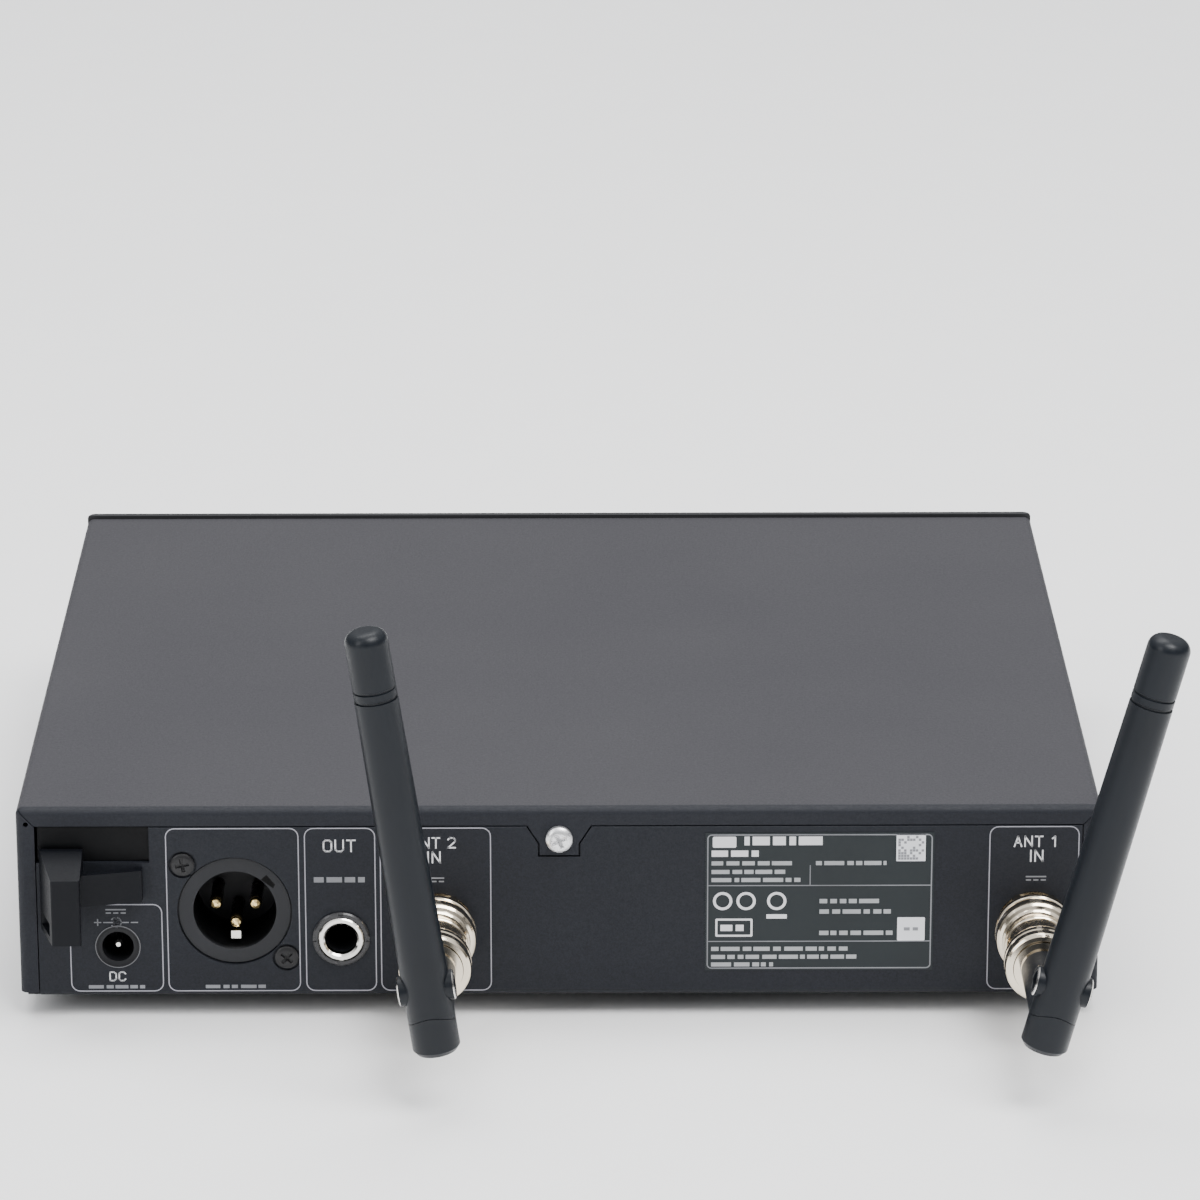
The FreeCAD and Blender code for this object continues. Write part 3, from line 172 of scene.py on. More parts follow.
def turned_metal(name, colour, rough, painted_shade_below=None):
    """Bright plated metal with faint lathe lines that run round the socket's axis; painted_shade_below, if
    given, is a Y range in millimetres, deeper than which painted shade darkens the metal.
    """
    build = Nodes(name)
    lines = build.noise(1500, 2.0, (0.15, 3.0, 0.15))
    cloud = build.noise(160, 3.0)
    plate = build.tint(build.spread(cloud, 0, 1), [c * 0.84 for c in colour], colour)
    if painted_shade_below:
        painted_shade_ramp = build.along("Y", *painted_shade_below)
        plate = build.multiply(plate, build.tint(painted_shade_ramp, (0.05, 0.04, 0.03), (1, 1, 1)))
    build.plug(plate, "Base Color")
    build.plug(build.spread(lines, rough * 0.7, rough * 1.4), "Roughness")
    build.shader.inputs["Metallic"].default_value = 1.0
    build.bump(lines, 0.000004, 0.35)
    build.bump(cloud, 0.00001, 0.2)
    return build.material


def moulded_clip(name, colour):
    """Black moulding with painted shade that darkens its plate at the back of the panel's notch."""
    build = Nodes(name)
    fine = build.noise(2200, 3.0)
    cloud = build.spread(build.noise(45), 0, 1)
    base = build.tint(cloud, [c * 0.85 for c in colour], [c * 1.15 for c in colour])
    painted_shade_behind = build.tint(build.along("Y", 92.4, 92.9), (0.12, 0.12, 0.12), (1, 1, 1))
    build.plug(build.multiply(base, painted_shade_behind), "Base Color")
    build.plug(build.spread(fine, 0.42, 0.54), "Roughness")
    build.shader.inputs["Specular IOR Level"].default_value = 0.14
    build.bump(fine, 0.000012)
    return build.material


def casting(name, colour):
    """Satin black casting with painted shade that darkens the deep part of its socket."""
    build = Nodes(name)
    fine = build.noise(1600, 3.0)
    cloud = build.spread(build.noise(60), 0, 1)
    base = build.tint(cloud, [c * 0.88 for c in colour], [c * 1.1 for c in colour])
    painted_shade_inside = build.tint(build.along("Y", 91.6, 92.6), (0.12, 0.12, 0.12), (1, 1, 1))
    build.plug(build.multiply(base, painted_shade_inside), "Base Color")
    build.plug(build.spread(fine, 0.36, 0.5), "Roughness")
    build.shader.inputs["Specular IOR Level"].default_value = 0.2
    build.bump(fine, 0.000015, 0.5)
    return build.material


COAT_SPECULAR = 0.22
M = {
    # the cover's rear lip and flanges, beyond Y 92.3, are darkened and blued: painted shade
    "coat": powder_coat("Powder_coat", (0.036, 0.0355, 0.0405), ("Y", 91.6, 92.3, (0.28, 0.32, 0.39))),
    # the panel's top cut edge, above Z 35.48, is brightened 3.6 times: painted highlight
    "panel": powder_coat("Powder_coat_panel", (0.0088, 0.0102, 0.0142), ("Z", 35.42, 35.48, (3.6, 3.4, 3.0))),
    "zinc": finish_of("Zinc_plate", (0.62, 0.62, 0.61), 0.32, 1.0, grain=1400, depth=0.000008),
    "white_zinc": finish_of("White_zinc", (0.74, 0.74, 0.75), 0.3, 0.85, grain=1400, depth=0.000008),
    "black_screw": finish_of("Black_plate", (0.02, 0.02, 0.022), 0.3, 0.3, grain=1500, coat=0.2),
    "rubber": finish_of("Foot_rubber", (0.014, 0.014, 0.015), 0.78, grain=1800, depth=0.00003),
    "moulded": finish_of("Moulded_black", (0.0062, 0.0066, 0.0082), 0.48, grain=2200, depth=0.000012,
                         specular=0.25),
    # collar: a lighter grey that paints a highlight on the power inlet's collar rim
    "collar": finish_of("Collar_painted_highlight", (0.09, 0.092, 0.1), 0.4, grain=2200, depth=0.00001, specular=0.5),
    "clip": moulded_clip("Clip_black", (0.0032, 0.0038, 0.0056)),
    "recess_screw": finish_of("Recess_screw_black", (0.012, 0.012, 0.013), 0.36, 0.2, grain=1500,
                              specular=0.35),
    "fascia": finish_of("Fascia_black", (0.017, 0.0172, 0.019), 0.5, grain=2600, depth=0.00002,
                        specular=0.35),
    "key": finish_of("Key_grey", (0.075, 0.075, 0.08), 0.5, grain=2600, depth=0.000012),
    "dark_glass": finish_of("Display_glass", (0.006, 0.008, 0.009), 0.08, grain=300, depth=0.000002,
                            spread=0.02),
    "board": finish_of("Solder_mask", (0.012, 0.09, 0.035), 0.3, grain=500, coat=0.3),
    "ribbon": finish_of("Flat_cable", (0.6, 0.58, 0.52), 0.42, grain=400, stretch=(6, 1, 1)),
    "nickel": turned_metal("Nickel_plate", (0.79, 0.7, 0.56), 0.13),
    "bright": turned_metal("Bright_nickel", (0.88, 0.86, 0.82), 0.15),
    # gold contacts deeper than Y 87.6 get painted shade, leaving bright tips
    "gold": turned_metal("Gold_plate", (0.95, 0.72, 0.34), 0.24, painted_shade_below=(87.6, 89.2)),
    "casting": casting("Satin_black_casting", (0.0165, 0.0172, 0.0195)),
    "white": finish_of("White_insulator", (0.72, 0.7, 0.66), 0.42, grain=900),
    "label": finish_of("Label_film", (0.0065, 0.0105, 0.0125), 0.42, grain=1100, depth=0.000006, vary=0.08,
                       specular=0.3),
    "rod": finish_of("Antenna_rubber", (0.0034, 0.0052, 0.0082), 0.36, grain=1900, depth=0.000008,
                     spread=0.06, specular=0.26),
    "copper": turned_metal("Bare_copper", (0.8, 0.42, 0.26), 0.3),
    "print": finish_of("Screen_print", (0.28, 0.28, 0.315), 0.55, grain=2400, depth=0.000004, vary=0.1),
    "bold_print": finish_of("Bold_print", (0.62, 0.62, 0.64), 0.55, grain=2400, depth=0.000004, vary=0.1),
    "faint_print": finish_of("Faint_print", (0.17, 0.175, 0.19), 0.55, grain=2400, depth=0.000004, vary=0.25),
    "label_print": finish_of("Label_print", (0.3, 0.31, 0.32), 0.5, grain=2400, depth=0.000003, vary=0.1),
    "paper": finish_of("Sticker_paper", (0.66, 0.67, 0.7), 0.6, grain=1500, depth=0.000005, vary=0.05),
    "shadow": finish_of("Painted_shadow_black", (0.003, 0.003, 0.003), 0.7, grain=1500, depth=0.000005, specular=0.1),
    "window": finish_of("Smoked_window", (0.008, 0.0095, 0.0105), 0.09, grain=260, depth=0.000002,
                        spread=0.03, coat=0.3),
    "lens": finish_of("Smoked_lens", (0.03, 0.006, 0.006), 0.12, grain=300, depth=0.000002, spread=0.03),
    "segments": finish_of("Display_marks", (0.42, 0.5, 0.48), 0.3, grain=900, depth=0.000002),
}


CAD_FINISH = {
    "coat": ["top_cover"],
    "panel": ["base_chassis", "screw_bracket"],
    "white_zinc": ["rear_cover_screw"],
    "zinc": ["dial_shaft", "dial_encoder", "press_in_nuts",
             "board_screws", "radio_shield"],
    "black_screw": ["side_cover_screws", "xlr_screws", "jack_nut"],
    "rubber": ["rubber_feet"],
    "fascia": ["front_fascia"],
    "clip": ["cable_clip"],
    "moulded": ["dc_inlet_housing", "jack_housing", "xlr_insert", "switches_and_lamps",
                "processor_chips", "power_components", "jog_dial"],
    "key": ["standby_button", "escape_button", "sync_button"],
    "window": ["display_window"],
    "dark_glass": ["display_module"],
    "lens": ["light_pipes"],
    "board": ["front_board", "main_board"],
    "ribbon": ["ribbon_cable", "ribbon_sockets"],
    "nickel": ["bnc_socket_1", "bnc_socket_2", "bnc_nuts", "antenna_1_coupling", "antenna_2_coupling",
               "antenna_1_plug", "antenna_2_plug"],
    "bright": ["jack_bushing", "jack_contacts", "dc_inlet_pin", "xlr_earth_contact"],
    "gold": ["xlr_contacts", "bnc_centre_contacts", "antenna_1_centre_pin", "antenna_2_centre_pin"],
    "casting": ["xlr_shell"],
    "white": ["bnc_insulators"],
    "label": ["type_label"],
    "rod": ["antenna_1_rod", "antenna_2_rod", "antenna_1_cap", "antenna_2_cap", "antenna_1_elbow",
            "antenna_2_elbow", "antenna_1_hinge_pin", "antenna_2_hinge_pin"],
    "copper": ["antenna_1_element", "antenna_2_element"],
}
for finish, names in CAD_FINISH.items():
    for name in names:
        NODES[name].data.materials.clear()
        NODES[name].data.materials.append(M[finish])


# ---------------------------------------------------------------------------------------
# Mesh helpers: every length is in millimetres until the piece is made
# ---------------------------------------------------------------------------------------
def piece(name, verts, faces, finish, body, slot, smooth=0.0, matrix=None, replaces=None):
    """One finished piece that rides on a CAD body."""
    mesh = bpy.data.meshes.new(name)
    spots = [Vector(v) for v in verts]
    if matrix:
        spots = [matrix @ v for v in spots]
    mesh.from_pydata([v * MM for v in spots], [], faces)
    work = bmesh.new()
    work.from_mesh(mesh)
    bmesh.ops.recalc_face_normals(work, faces=work.faces)
    work.to_mesh(mesh)
    work.free()
    thing = bpy.data.objects.new(name, mesh)
    bpy.context.scene.collection.objects.link(thing)
    mesh.materials.append(M[finish])
    if smooth:
        mesh.shade_smooth()
        mesh.set_sharp_from_angle(angle=math.radians(smooth))
    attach(thing, body)
    if replaces:
        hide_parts(replaces)
    return thing


def merge(parts):
    """Join (verts, faces) lists into one."""
    verts, faces = [], []
    for some_verts, some_faces in parts:
        shift = len(verts)
        verts += some_verts
        faces += [tuple(i + shift for i in face) for face in some_faces]
    return verts, faces


def rear_sheet(outline, low, high):
    """A flat shape on a plane facing +Y: outline is (x, z) points, low and high are its y limits."""
    count = len(outline)
    verts = [(x, low, z) for x, z in outline] + [(x, high, z) for x, z in outline]
    faces = [tuple(range(count)), tuple(range(count, 2 * count))]
    faces += [(i, (i + 1) % count, count + (i + 1) % count, count + i) for i in range(count)]
    return verts, faces


def ring_sheet(outer, inner, low, high):
    """A flat ring between two outlines with the same number of points."""
    count = len(outer)
    verts = [(x, y, z) for y in (low, high) for shape in (outer, inner) for x, z in shape]
    faces = []
    for i in range(count):
        j = (i + 1) % count
        faces.append((i, j, count + j, count + i))
        faces.append((2 * count + i, 2 * count + j, 3 * count + j, 3 * count + i))
        faces.append((i, j, 2 * count + j, 2 * count + i))
        faces.append((count + i, count + j, 3 * count + j, 3 * count + i))
    return verts, faces


def rounded_box(x0, x1, z0, z1, radius, steps=5):
    """The outline of a rectangle with rounded corners, anticlockwise from the lower right."""
    radius = max(radius, 0.01)
    points = []
    corners = ((x1 - radius, z0 + radius, -90), (x1 - radius, z1 - radius, 0),
               (x0 + radius, z1 - radius, 90), (x0 + radius, z0 + radius, 180))
    for cx, cz, start in corners:
        for step in range(steps + 1):
            angle = math.radians(start + 90 * step / steps)
            points.append((cx + radius * math.cos(angle), cz + radius * math.sin(angle)))
    return points


def disc(cx, cz, radius, count=32):
    return [(cx + radius * math.cos(2 * math.pi * i / count), cz + radius * math.sin(2 * math.pi * i / count))
            for i in range(count)]


def frame_line(x0, x1, z0, z1, radius, width, low, high):
    """A thin printed line round a rounded rectangle."""
    half = width / 2
    outer = rounded_box(x0 - half, x1 + half, z0 - half, z1 + half, radius + half)
    inner = rounded_box(x0 + half, x1 - half, z0 + half, z1 - half, radius - half)
    return ring_sheet(outer, inner, low, high)


def lathe(profile, count=48, wave=None):
    """A turned solid round the Y axis: profile is (radius, y). wave(angle) scales its radii."""
    verts, faces = [], []
    for radius, y in profile:
        for i in range(count):
            angle = 2 * math.pi * i / count
            swell = wave(i) if wave and radius > 0 else 0
            verts.append(((radius + swell) * math.cos(angle), y, (radius + swell) * math.sin(angle)))
    rows = len(profile)
    for row in range(rows - 1):
        for i in range(count):
            j = (i + 1) % count
            faces.append((row * count + i, row * count + j, (row + 1) * count + j, (row + 1) * count + i))
    return verts, faces


def moved(part, x=0.0, y=0.0, z=0.0):
    verts, faces = part
    return [(a + x, b + y, c + z) for a, b, c in verts], faces


def cross_head(radius, height, count=120, rings=26):
    """A pan head facing +Y with a cross recess, on a short shank."""
    half, reach, depth = radius * 0.14, radius * 0.6, height * 0.75
    verts = [(0, height - depth, 0)]
    for ring in range(1, rings + 1):
        out = radius * ring / rings
        for i in range(count):
            angle = 2 * math.pi * i / count
            x, z = out * math.cos(angle), out * math.sin(angle)
            crown = height * (1 - 0.4 * (out / radius) ** 4)
            short, long = sorted((abs(x), abs(z)))
            if short < half and long < reach:
                crown -= depth * (1 - 0.6 * long / reach)
            verts.append((x, crown, z))
    for out, y in ((radius, 0), (radius * 0.45, 0), (radius * 0.45, -3.5)):
        for i in range(count):
            angle = 2 * math.pi * i / count
            verts.append((out * math.cos(angle), y, out * math.sin(angle)))
    faces = [(0, 1 + i, 1 + (i + 1) % count) for i in range(count)]
    for row in range(rings + 2):
        start = 1 + row * count
        for i in range(count):
            j = (i + 1) % count
            faces.append((start + i, start + j, start + count + j, start + count + i))
    last = 1 + (rings + 2) * count
    faces.append(tuple(range(last, last + count)))
    return verts, faces


def aimed(part, matrix):
    verts, faces = part
    return [tuple(matrix @ Vector(v)) for v in verts], faces


def strokes(lines, x, z, scale, width, low, high, hand=-1):
    """Thin bars along each broken line, with the symbol's own origin put at (x, z).

    hand is -1 for a mark read from the rear and 1 for a mark read from the front."""
    parts = []
    for line in lines:
        spots = [Vector((x + hand * u * scale, z + v * scale)) for u, v in line]
        for start, end in zip(spots, spots[1:]):
            run = (end - start).normalized() * width / 2
            side = Vector((-run.y, run.x))
            corners = (start - run - side, end + run - side, end + run + side, start - run + side)
            parts.append(rear_sheet([tuple(c) for c in corners], low, high))
    return parts


def arc(cx, cz, radius, start, end, steps=14):
    """Points along an arc, with its angles in degrees."""
    turn = [math.radians(start + (end - start) * i / steps) for i in range(steps + 1)]
    return [(cx + radius * math.cos(a), cz + radius * math.sin(a)) for a in turn]


GLYPHS = {
    "A": [[(0, 0), (2, 6), (4, 0)], [(0.8, 2.2), (3.2, 2.2)]],
    "N": [[(0, 0), (0, 6), (4, 0), (4, 6)]],
    "T": [[(0, 6), (4, 6)], [(2, 6), (2, 0)]],
    "I": [[(0.7, 0), (0.7, 6)]],
    "O": [[(1, 0), (3, 0), (4, 1), (4, 5), (3, 6), (1, 6), (0, 5), (0, 1), (1, 0)]],
    "U": [[(0, 6), (0, 1), (1, 0), (3, 0), (4, 1), (4, 6)]],
    "D": [[(0, 0), (0, 6), (2.6, 6), (4, 4.8), (4, 1.2), (2.6, 0), (0, 0)]],
    "C": [[(4, 5), (3, 6), (1, 6), (0, 5), (0, 1), (1, 0), (3, 0), (4, 1)]],
    "1": [[(0.8, 4.8), (2.2, 6), (2.2, 0)]],
    "2": [[(0, 5), (1, 6), (3, 6), (4, 5), (4, 3.8), (0, 0), (4, 0)]],
    " ": [],
}


def word(text, x, z, height, low, high, width=0.3, hand=-1):
    """A plain word in straight strokes, centred on x with its foot at z."""
    scale = height / 6
    steps = [3.0 if letter in " I" else 6.0 for letter in text]
    start = -(sum(steps) - 1.6) / 2
    parts = []
    for place, letter in enumerate(text):
        lines = [[(start + sum(steps[:place]) + u, v) for u, v in line] for line in GLYPHS[letter]]
        parts += strokes(lines, x, z, scale, width, low, high, hand)
    return parts


def bars(draw, x_from, x_to, z, height, low, high, longest=4.0):
    """A row of small blocks of uneven length where a line of small print would be."""
    parts = []
    x = x_from
    while x > x_to + 0.5:
        length = min(draw.uniform(0.9, longest), x - x_to)
        corners = [(x - length, z), (x, z), (x, z + height), (x - length, z + height)]
        parts.append(rear_sheet(corners, low, high))
        x -= length + draw.uniform(0.35, 0.7)
    return parts


# ---------------------------------------------------------------------------------------
# Camera, light and floor
# ---------------------------------------------------------------------------------------
camera = bpy.data.cameras.new("Camera")
camera.lens = 174.6
camera.sensor_width = 36.0
eye = bpy.data.objects.new("Camera", camera)
bpy.context.scene.collection.objects.link(eye)
right = Vector((-0.999799, 0.006328, -0.000331))
down = Vector((0.002334, 0.319241, -0.947671))
forward = Vector((-0.005891, -0.947653, -0.319249))
pose = Matrix((right, -down, -forward)).transposed().to_4x4()
pose.translation = Vector((-0.0014, 1.1551, 0.4398))
eye.matrix_world = pose
bpy.context.scene.camera = eye


def area_light(name, spot, target, size, power, colour=(1, 1, 1)):
    lamp = bpy.data.lights.new(name, "AREA")
    lamp.shape = "RECTANGLE"
    lamp.size, lamp.size_y = size
    lamp.energy = power
    lamp.color = colour
    thing = bpy.data.objects.new(name, lamp)
    bpy.context.scene.collection.objects.link(thing)
    thing.location = spot
    thing.rotation_euler = (Vector(target) - Vector(spot)).to_track_quat("-Z", "Y").to_euler()
    return thing


area_light("Key", (-0.5, 0.7, 1.4), (0, 0.05, 0), (0.9, 0.7), 26)
area_light("Fill", (1.0, 1.0, 0.7), (0, 0.05, 0.02), (0.5, 0.9), 6)
area_light("Overhead", (0.2, -0.35, 1.6), (0, 0, 0), (1.5, 0.8), 20)

world = bpy.data.worlds.new("Studio")
bpy.context.scene.world = world
world.use_nodes = True
sky = world.node_tree
heading = sky.nodes.new("ShaderNodeTexCoord")
split = sky.nodes.new("ShaderNodeSeparateXYZ")
rise = sky.nodes.new("ShaderNodeMapRange")
rise.interpolation_type = "SMOOTHSTEP"
for socket, value in (("From Min", 0.05), ("From Max", 0.8), ("To Min", 0.17), ("To Max", 1.38)):
    rise.inputs[socket].default_value = value
sky.links.new(heading.outputs["Generated"], split.inputs[0])
sky.links.new(split.outputs["Z"], rise.inputs["Value"])
sky.links.new(rise.outputs[0], sky.nodes["Background"].inputs["Strength"])
sky.nodes["Background"].inputs["Color"].default_value = (0.97, 0.98, 1.0, 1)

floor_mesh = bpy.data.meshes.new("Floor")
FLOOR_HALF = 6
floor_corners = [(x * FLOOR_HALF, y * FLOOR_HALF, FOOTING * MM)
                 for x, y in ((-1, -1), (1, -1), (1, 1), (-1, 1))]
floor_mesh.from_pydata(floor_corners, [], [(0, 1, 2, 3)])
floor = bpy.data.objects.new("Floor", floor_mesh)
bpy.context.scene.collection.objects.link(floor)
floor_mesh.materials.append(finish_of("Studio_floor", (0.93, 0.93, 0.93), 0.7, vary=0.005, grain=300, depth=0,
                                      specular=0.2))

# ---------------------------------------------------------------------------------------
# Rear panel: printed frames, plain words, symbols and rows of small blocks
# ---------------------------------------------------------------------------------------
INK = (REAR + 0.004, REAR + 0.03)
LINE = 0.21
FRAMES = ((50.95, 76.8), (36.0, 49.7), (13.4, 34.95), (-101.55, -84.15))
outlines = [frame_line(x0, x1, 1.2, 35.3, 1.7, LINE, *INK) for x0, x1 in FRAMES]
outlines.append(frame_line(77.9, 95.95, 1.2, 19.45, 1.7, LINE, *INK))
piece("Printed_frames", *merge(outlines), "print", "case", "white_plastic")

words = word("OUT", 42.85, 30.5, 2.3, *INK)
for number, x in ((1, -93.3), (2, 24.5)):
    words += word(f"ANT {number}", x, 31.2, 2.05, *INK)
    words += word("IN", x, 28.1, 2.2, *INK)
words += word("DC", 86.8, 3.4, 1.8, *INK, width=0.27)
piece("Printed_words", *merge(words), "bold_print", "case", "white_plastic")

draw = random.Random(11)
small = bars(draw, 48.0, 37.9, 24.0, 1.1, *INK, longest=3.2)
small += bars(draw, 69.6, 57.8, 1.75, 0.7, *INK)
small += bars(draw, 92.6, 81.0, 1.75, 0.7, *INK)
for x, z in ((-93.3, 24.7), (24.5, 24.7), (86.9, 18.25)):
    small.append(rear_sheet([(x - 2, z), (x + 2, z), (x + 2, z + 0.28), (x - 2, z + 0.28)], *INK))
    for step in (-1.45, 0, 1.45):
        small.append(rear_sheet([(x + step - 0.5, z - 0.7), (x + step + 0.5, z - 0.7),
                                 (x + step + 0.5, z - 0.42), (x + step - 0.5, z - 0.42)], *INK))
# centre-positive plug symbol
plug = [arc(0, 0, 0.45, 0, 360), arc(0, 0, 1.05, 40, 320), [(0.45, 0), (2.4, 0)], [(-1.05, 0), (-2.4, 0)],
        [(3.0, 0), (4.2, 0)], [(3.6, -0.6), (3.6, 0.6)], [(-3.0, 0), (-4.2, 0)]]
small += strokes(plug, 86.9, 15.7, 1, 0.24, *INK, hand=1)
piece("Printed_small_marks", *merge(small), "faint_print", "case", "white_plastic")

# ---------------------------------------------------------------------------------------
# Type label: outline, divisions, rows of blocks, a scattered patch and a small sticker
# ---------------------------------------------------------------------------------------
left, right_edge, low, high = LABEL
FILM = REAR + 0.12
ink = (FILM + 0.002, FILM + 0.02)
lines = [frame_line(left + 0.45, right_edge - 0.45, low + 0.45, high - 0.45, 0.8, 0.24, *ink)]
for z in (23.15, 11.4):
    lines.append(rear_sheet([(left + 0.5, z - 0.1), (right_edge - 0.5, z - 0.1),
                             (right_edge - 0.5, z + 0.1), (left + 0.5, z + 0.1)], *ink))
lines.append(rear_sheet([(-49.2, 23.2), (-49.0, 23.2), (-49.0, 27.4), (-49.2, 27.4)], *ink))
piece("Label_lines", *merge(lines), "faint_print", "case", "label")

rows = []
LABEL_ROWS = (
    (-29.8, -45.5, 27.4, 0.85), (-29.8, -44.2, 25.6, 0.85), (-29.8, -47.2, 23.9, 0.85),
    (-50.2, -64.0, 27.4, 0.85), (-51.0, -63.2, 19.4, 0.9), (-51.0, -65.0, 17.2, 0.9),
    (-51.0, -65.4, 12.7, 0.9), (-29.8, -57.5, 9.4, 0.85), (-29.8, -59.0, 7.7, 0.85),
    (-29.8, -42.0, 6.1, 0.85),
)
for x_from, x_to, z, height in LABEL_ROWS:
    rows += bars(draw, x_from, x_to, z, height, *ink)
piece("Label_small_rows", *merge(rows), "label_print", "case", "label")

bold = bars(draw, -36.2, -51.6, 31.6, 1.8, *ink, longest=6.0) + bars(draw, -29.8, -39.0, 29.2, 1.3, *ink)
bold.append(rear_sheet(rounded_box(-34.6, -30.0, 31.1, 33.4, 0.3), *ink))
for centre, wide in ((-32.0, 1.9), (-36.6, 1.9), (-42.6, 1.9)):
    bold.append(ring_sheet(disc(centre, 19.9, wide, 28), disc(centre, 19.9, wide - 0.55, 28), *ink))
bold.append(rear_sheet([(-44.6, 16.2), (-40.6, 16.2), (-40.6, 17.1), (-44.6, 17.1)], *ink))
bold.append(ring_sheet(rounded_box(-37.9, -30.6, 12.4, 16.2, 0.3),
                       rounded_box(-37.5, -31.0, 12.8, 15.8, 0.2), *ink))
bold += bars(draw, -31.6, -37.0, 13.6, 1.3, *ink, longest=2.5)
piece("Label_bold_marks", *merge(bold), "bold_print", "case", "label")

patches = [rear_sheet(rounded_box(-71.6, -65.9, 28.2, 33.8, 0.1), *ink),
           rear_sheet(rounded_box(-71.7, -66.3, 11.5, 16.4, 0.25), *ink)]
piece("Label_patches", *merge(patches), "paper", "case", "label")
specks = []
for column in range(9):
    for row in range(9):
        if draw.random() < 0.46:
            x, z = -71.3 + 0.57 * column, 28.5 + 0.56 * row
            corners = [(x, z), (x + 0.5, z), (x + 0.5, z + 0.5), (x, z + 0.5)]
            specks.append(rear_sheet(corners, FILM + 0.02, FILM + 0.03))
specks += bars(draw, -67.6, -70.4, 13.6, 0.7, FILM + 0.02, FILM + 0.03, longest=1.5)
piece("Label_specks", *merge(specks), "faint_print", "case", "label")

# ---------------------------------------------------------------------------------------
# Screws with a real cross recess, in place of the plain CAD heads
# ---------------------------------------------------------------------------------------
head = aimed(cross_head(2.6, 1.7), Matrix.Rotation(math.radians(24), 4, "Y"))
piece("Rear_cross_screw", *moved(head, 0, REAR, 33.1), "white_zinc", "case", "zinc", 32,
      replaces="rear_cover_screw")
heads = []
for hand, turn in ((1, 12), (-1, 50)):
    head = aimed(cross_head(2.3, 0.95), Matrix.Rotation(math.radians(turn), 4, "Y"))
    heads.append(moved(head, XLR[0] + hand * 10.05, REAR - 0.5, XLR[1] + hand * 9.75))
piece("Xlr_cross_screws", *merge(heads), "recess_screw", "case", "black_screw", 32, replaces="xlr_screws")
heads = []
for hand in (1, -1):
    for y in (-20, 60):
        head = aimed(cross_head(2.5, 1.5), Matrix.Rotation(math.radians(-90 * hand), 4, "Z"))
        heads.append(moved(head, hand * SIDE, y, 6.5))
piece("Side_cross_screws", *merge(heads), "black_screw", "case", "black_screw", 32,
      replaces="side_cover_screws")

# ---------------------------------------------------------------------------------------
# Sockets: painted shadow in the audio connector's latch notch, collar round the power inlet with a painted
# highlight on its rim
# ---------------------------------------------------------------------------------------
# A flat black sheet on the connector's face: painted shadow in the latch notch.
notch = [(XLR[0] + a, XLR[1] + b) for a, b in ((-5.2, 6.4), (-7.6, 4.6), (-8.0, 5.4), (-6.3, 7.4))]
piece("Xlr_notch_painted_shadow", *rear_sheet(notch, REAR - 0.51, REAR - 0.49), "shadow", "case", "dark_casting")
rim = lathe([(3.1, 92.9), (3.1, 93.42), (3.25, 93.5), (3.95, 93.5), (4.15, 93.56), (4.3, 93.62),
             (4.45, 93.56), (4.5, 93.505)], 64)
piece("Dc_collar", *moved(rim, DC[0], 0, DC[1]), "moulded", "case", "black_plastic", 40)

# A lighter grey ring on the collar's rim: a painted highlight.
edge = lathe([(4.28, 93.55), (4.28, 93.65), (4.45, 93.63), (4.45, 93.55), (4.28, 93.55)], 64)
piece("Dc_collar_painted_highlight", *moved(edge, DC[0], 0, DC[1]), "collar", "case", "black_plastic", 40)

# ---------------------------------------------------------------------------------------
# Antennas: a bright ring on each end of the hinge pin
# ---------------------------------------------------------------------------------------
for number, (x, lean) in ANTENNAS.items():
    place = Matrix.Translation((x, REAR + ROD_OUT, BNC_Z)) @ Matrix.Rotation(math.radians(lean), 4, "Y")
    rings = []
    for hand in (1, -1):
        ring = lathe([(1.85, 5.3), (1.85, 5.43), (2.55, 5.43), (2.88, 5.15), (2.75, 5.15), (1.85, 5.3)], 48)
        turn = Matrix.Translation((0, 0, HINGE_UP)) @ Matrix.Rotation(math.radians(-90 * hand), 4, "Z")
        rings.append(aimed(ring, place @ turn))
    piece(f"Hinge_rings_{number}", *merge(rings), "bright", f"antenna_{number}_swivel", "nickel", 40)

# ---------------------------------------------------------------------------------------
# Front: display marks, key symbols, dial grip, small marks and the infrared window
# ---------------------------------------------------------------------------------------
GLASS = (FRONT - 0.02, FRONT + 0.005)
marks = []
for channel, z in ((0, 24.6), (1, 20.6)):
    for step in range(16):
        x = -57 + 1.75 * step
        filled = 11 if channel == 0 else 8
        marks.append(rear_sheet([(x, z), (x + 1.25, z), (x + 1.25, z + (2.2 if step < filled else 0.5)),
                                 (x, z + (2.2 if step < filled else 0.5))], *GLASS))
for place, digit in enumerate("1221"):
    marks += strokes(GLYPHS[digit], -24 + 4.2 * place, 20.8, 0.72, 0.5, *GLASS, hand=1)
battery = [[(0, 0), (0, 2.4), (5.4, 2.4), (5.4, 0), (0, 0)], [(5.9, 0.7), (5.9, 1.7)]]
marks += strokes(battery, -17, 13.2, 1, 0.3, *GLASS, hand=1)
for step in range(3):
    x = -16.4 + 1.7 * step
    marks.append(rear_sheet([(x, 13.8), (x + 1.2, 13.8), (x + 1.2, 15.0), (x, 15.0)], *GLASS))
for x in (-56, -44, -32):
    marks.append(rear_sheet(rounded_box(x, x + 9, 12.8, 15.2, 0.4), *GLASS))
piece("Display_marks", *merge(marks), "segments", "case", "dark_glass")

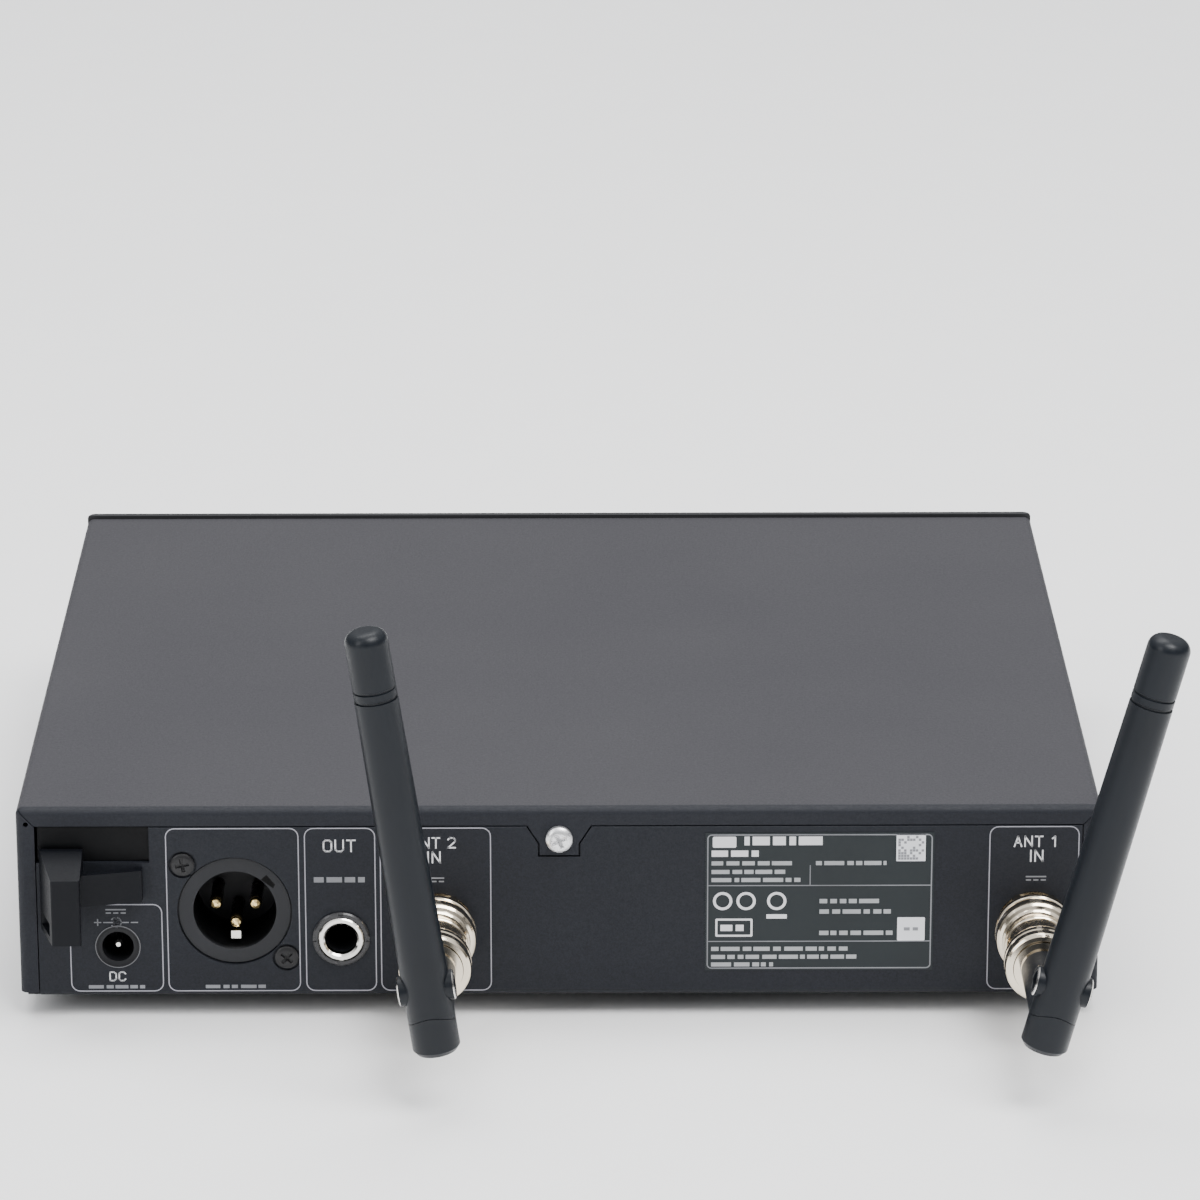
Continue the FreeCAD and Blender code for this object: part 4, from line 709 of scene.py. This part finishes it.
BEZEL = (FRONT - 0.025, FRONT + 0.01)
trim = [frame_line(-65.2, -2.8, 6.5, 32.9, 1.8, 0.3, *BEZEL)]
for z in (ROW - 7, ROW, ROW + 7):
    trim.append(rear_sheet([(71, z - 0.15), (74.5, z - 0.15), (74.5, z + 0.15), (71, z + 0.15)], *BEZEL))
trim += strokes([arc(42, ROW, 13.4, 215, -35, 40)], 0, 0, 1, 0.3, *BEZEL, hand=1)
for step in range(11):
    angle = math.radians(215 - 25 * step)
    near, far = 14.0, 15.2
    tick = [(42 + reach * math.cos(angle), ROW + reach * math.sin(angle)) for reach in (near, far)]
    trim += strokes([tick], 0, 0, 1, 0.26, *BEZEL, hand=1)
piece("Front_marks", *merge(trim), "print", "case", "white_plastic")
piece("Infrared_window", *rear_sheet(rounded_box(76.5, 82.5, 30.2, 33.4, 1.4), FRONT - 0.05, FRONT + 0.01),
      "lens", "case", "clear_plastic")

KEY_FACE = (FRONT - 1.225, FRONT - 1.19)
SYMBOLS = {
    "standby": (-86, [arc(0, 0, 1.9, 60, -240), [(0, 0.5), (0, 2.4)]]),
    "escape": (12, [arc(0.3, 0, 1.3, 90, -90), [(0.3, 1.3), (-1.9, 1.3)],
                    [(-0.9, 2.2), (-1.9, 1.3), (-0.9, 0.4)], [(0.3, -1.3), (-1.2, -1.3)]]),
    "sync": (90, [[(-1.9, 0.75), (1.9, 0.75)], [(1.0, 1.65), (1.9, 0.75)], [(1.9, -0.75), (-1.9, -0.75)],
                  [(-1.0, -1.65), (-1.9, -0.75)]]),
}
for key, (x, lines) in SYMBOLS.items():
    piece(f"Symbol_{key}", *merge(strokes(lines, x, ROW, 1, 0.32, *KEY_FACE, hand=1)), "bold_print",
          f"{key}_button", "key_plastic")

ribs = lathe([(10.9, -102.3), (11.2, -102.1), (11.2, -95.5), (10.9, -95.3), (10.9, -102.3)], 288,
             wave=lambda i: 0.14 if i % 4 < 2 else 0.0)
piece("Dial_grip", *moved(ribs, 42, 0, ROW), "moulded", "jog_dial", "black_plastic")
pointer = rear_sheet(rounded_box(41.6, 42.4, ROW + 8.1, ROW + 10.0, 0.35), -103.43, -103.38)
piece("Dial_pointer", *pointer, "bold_print", "jog_dial", "white_plastic")
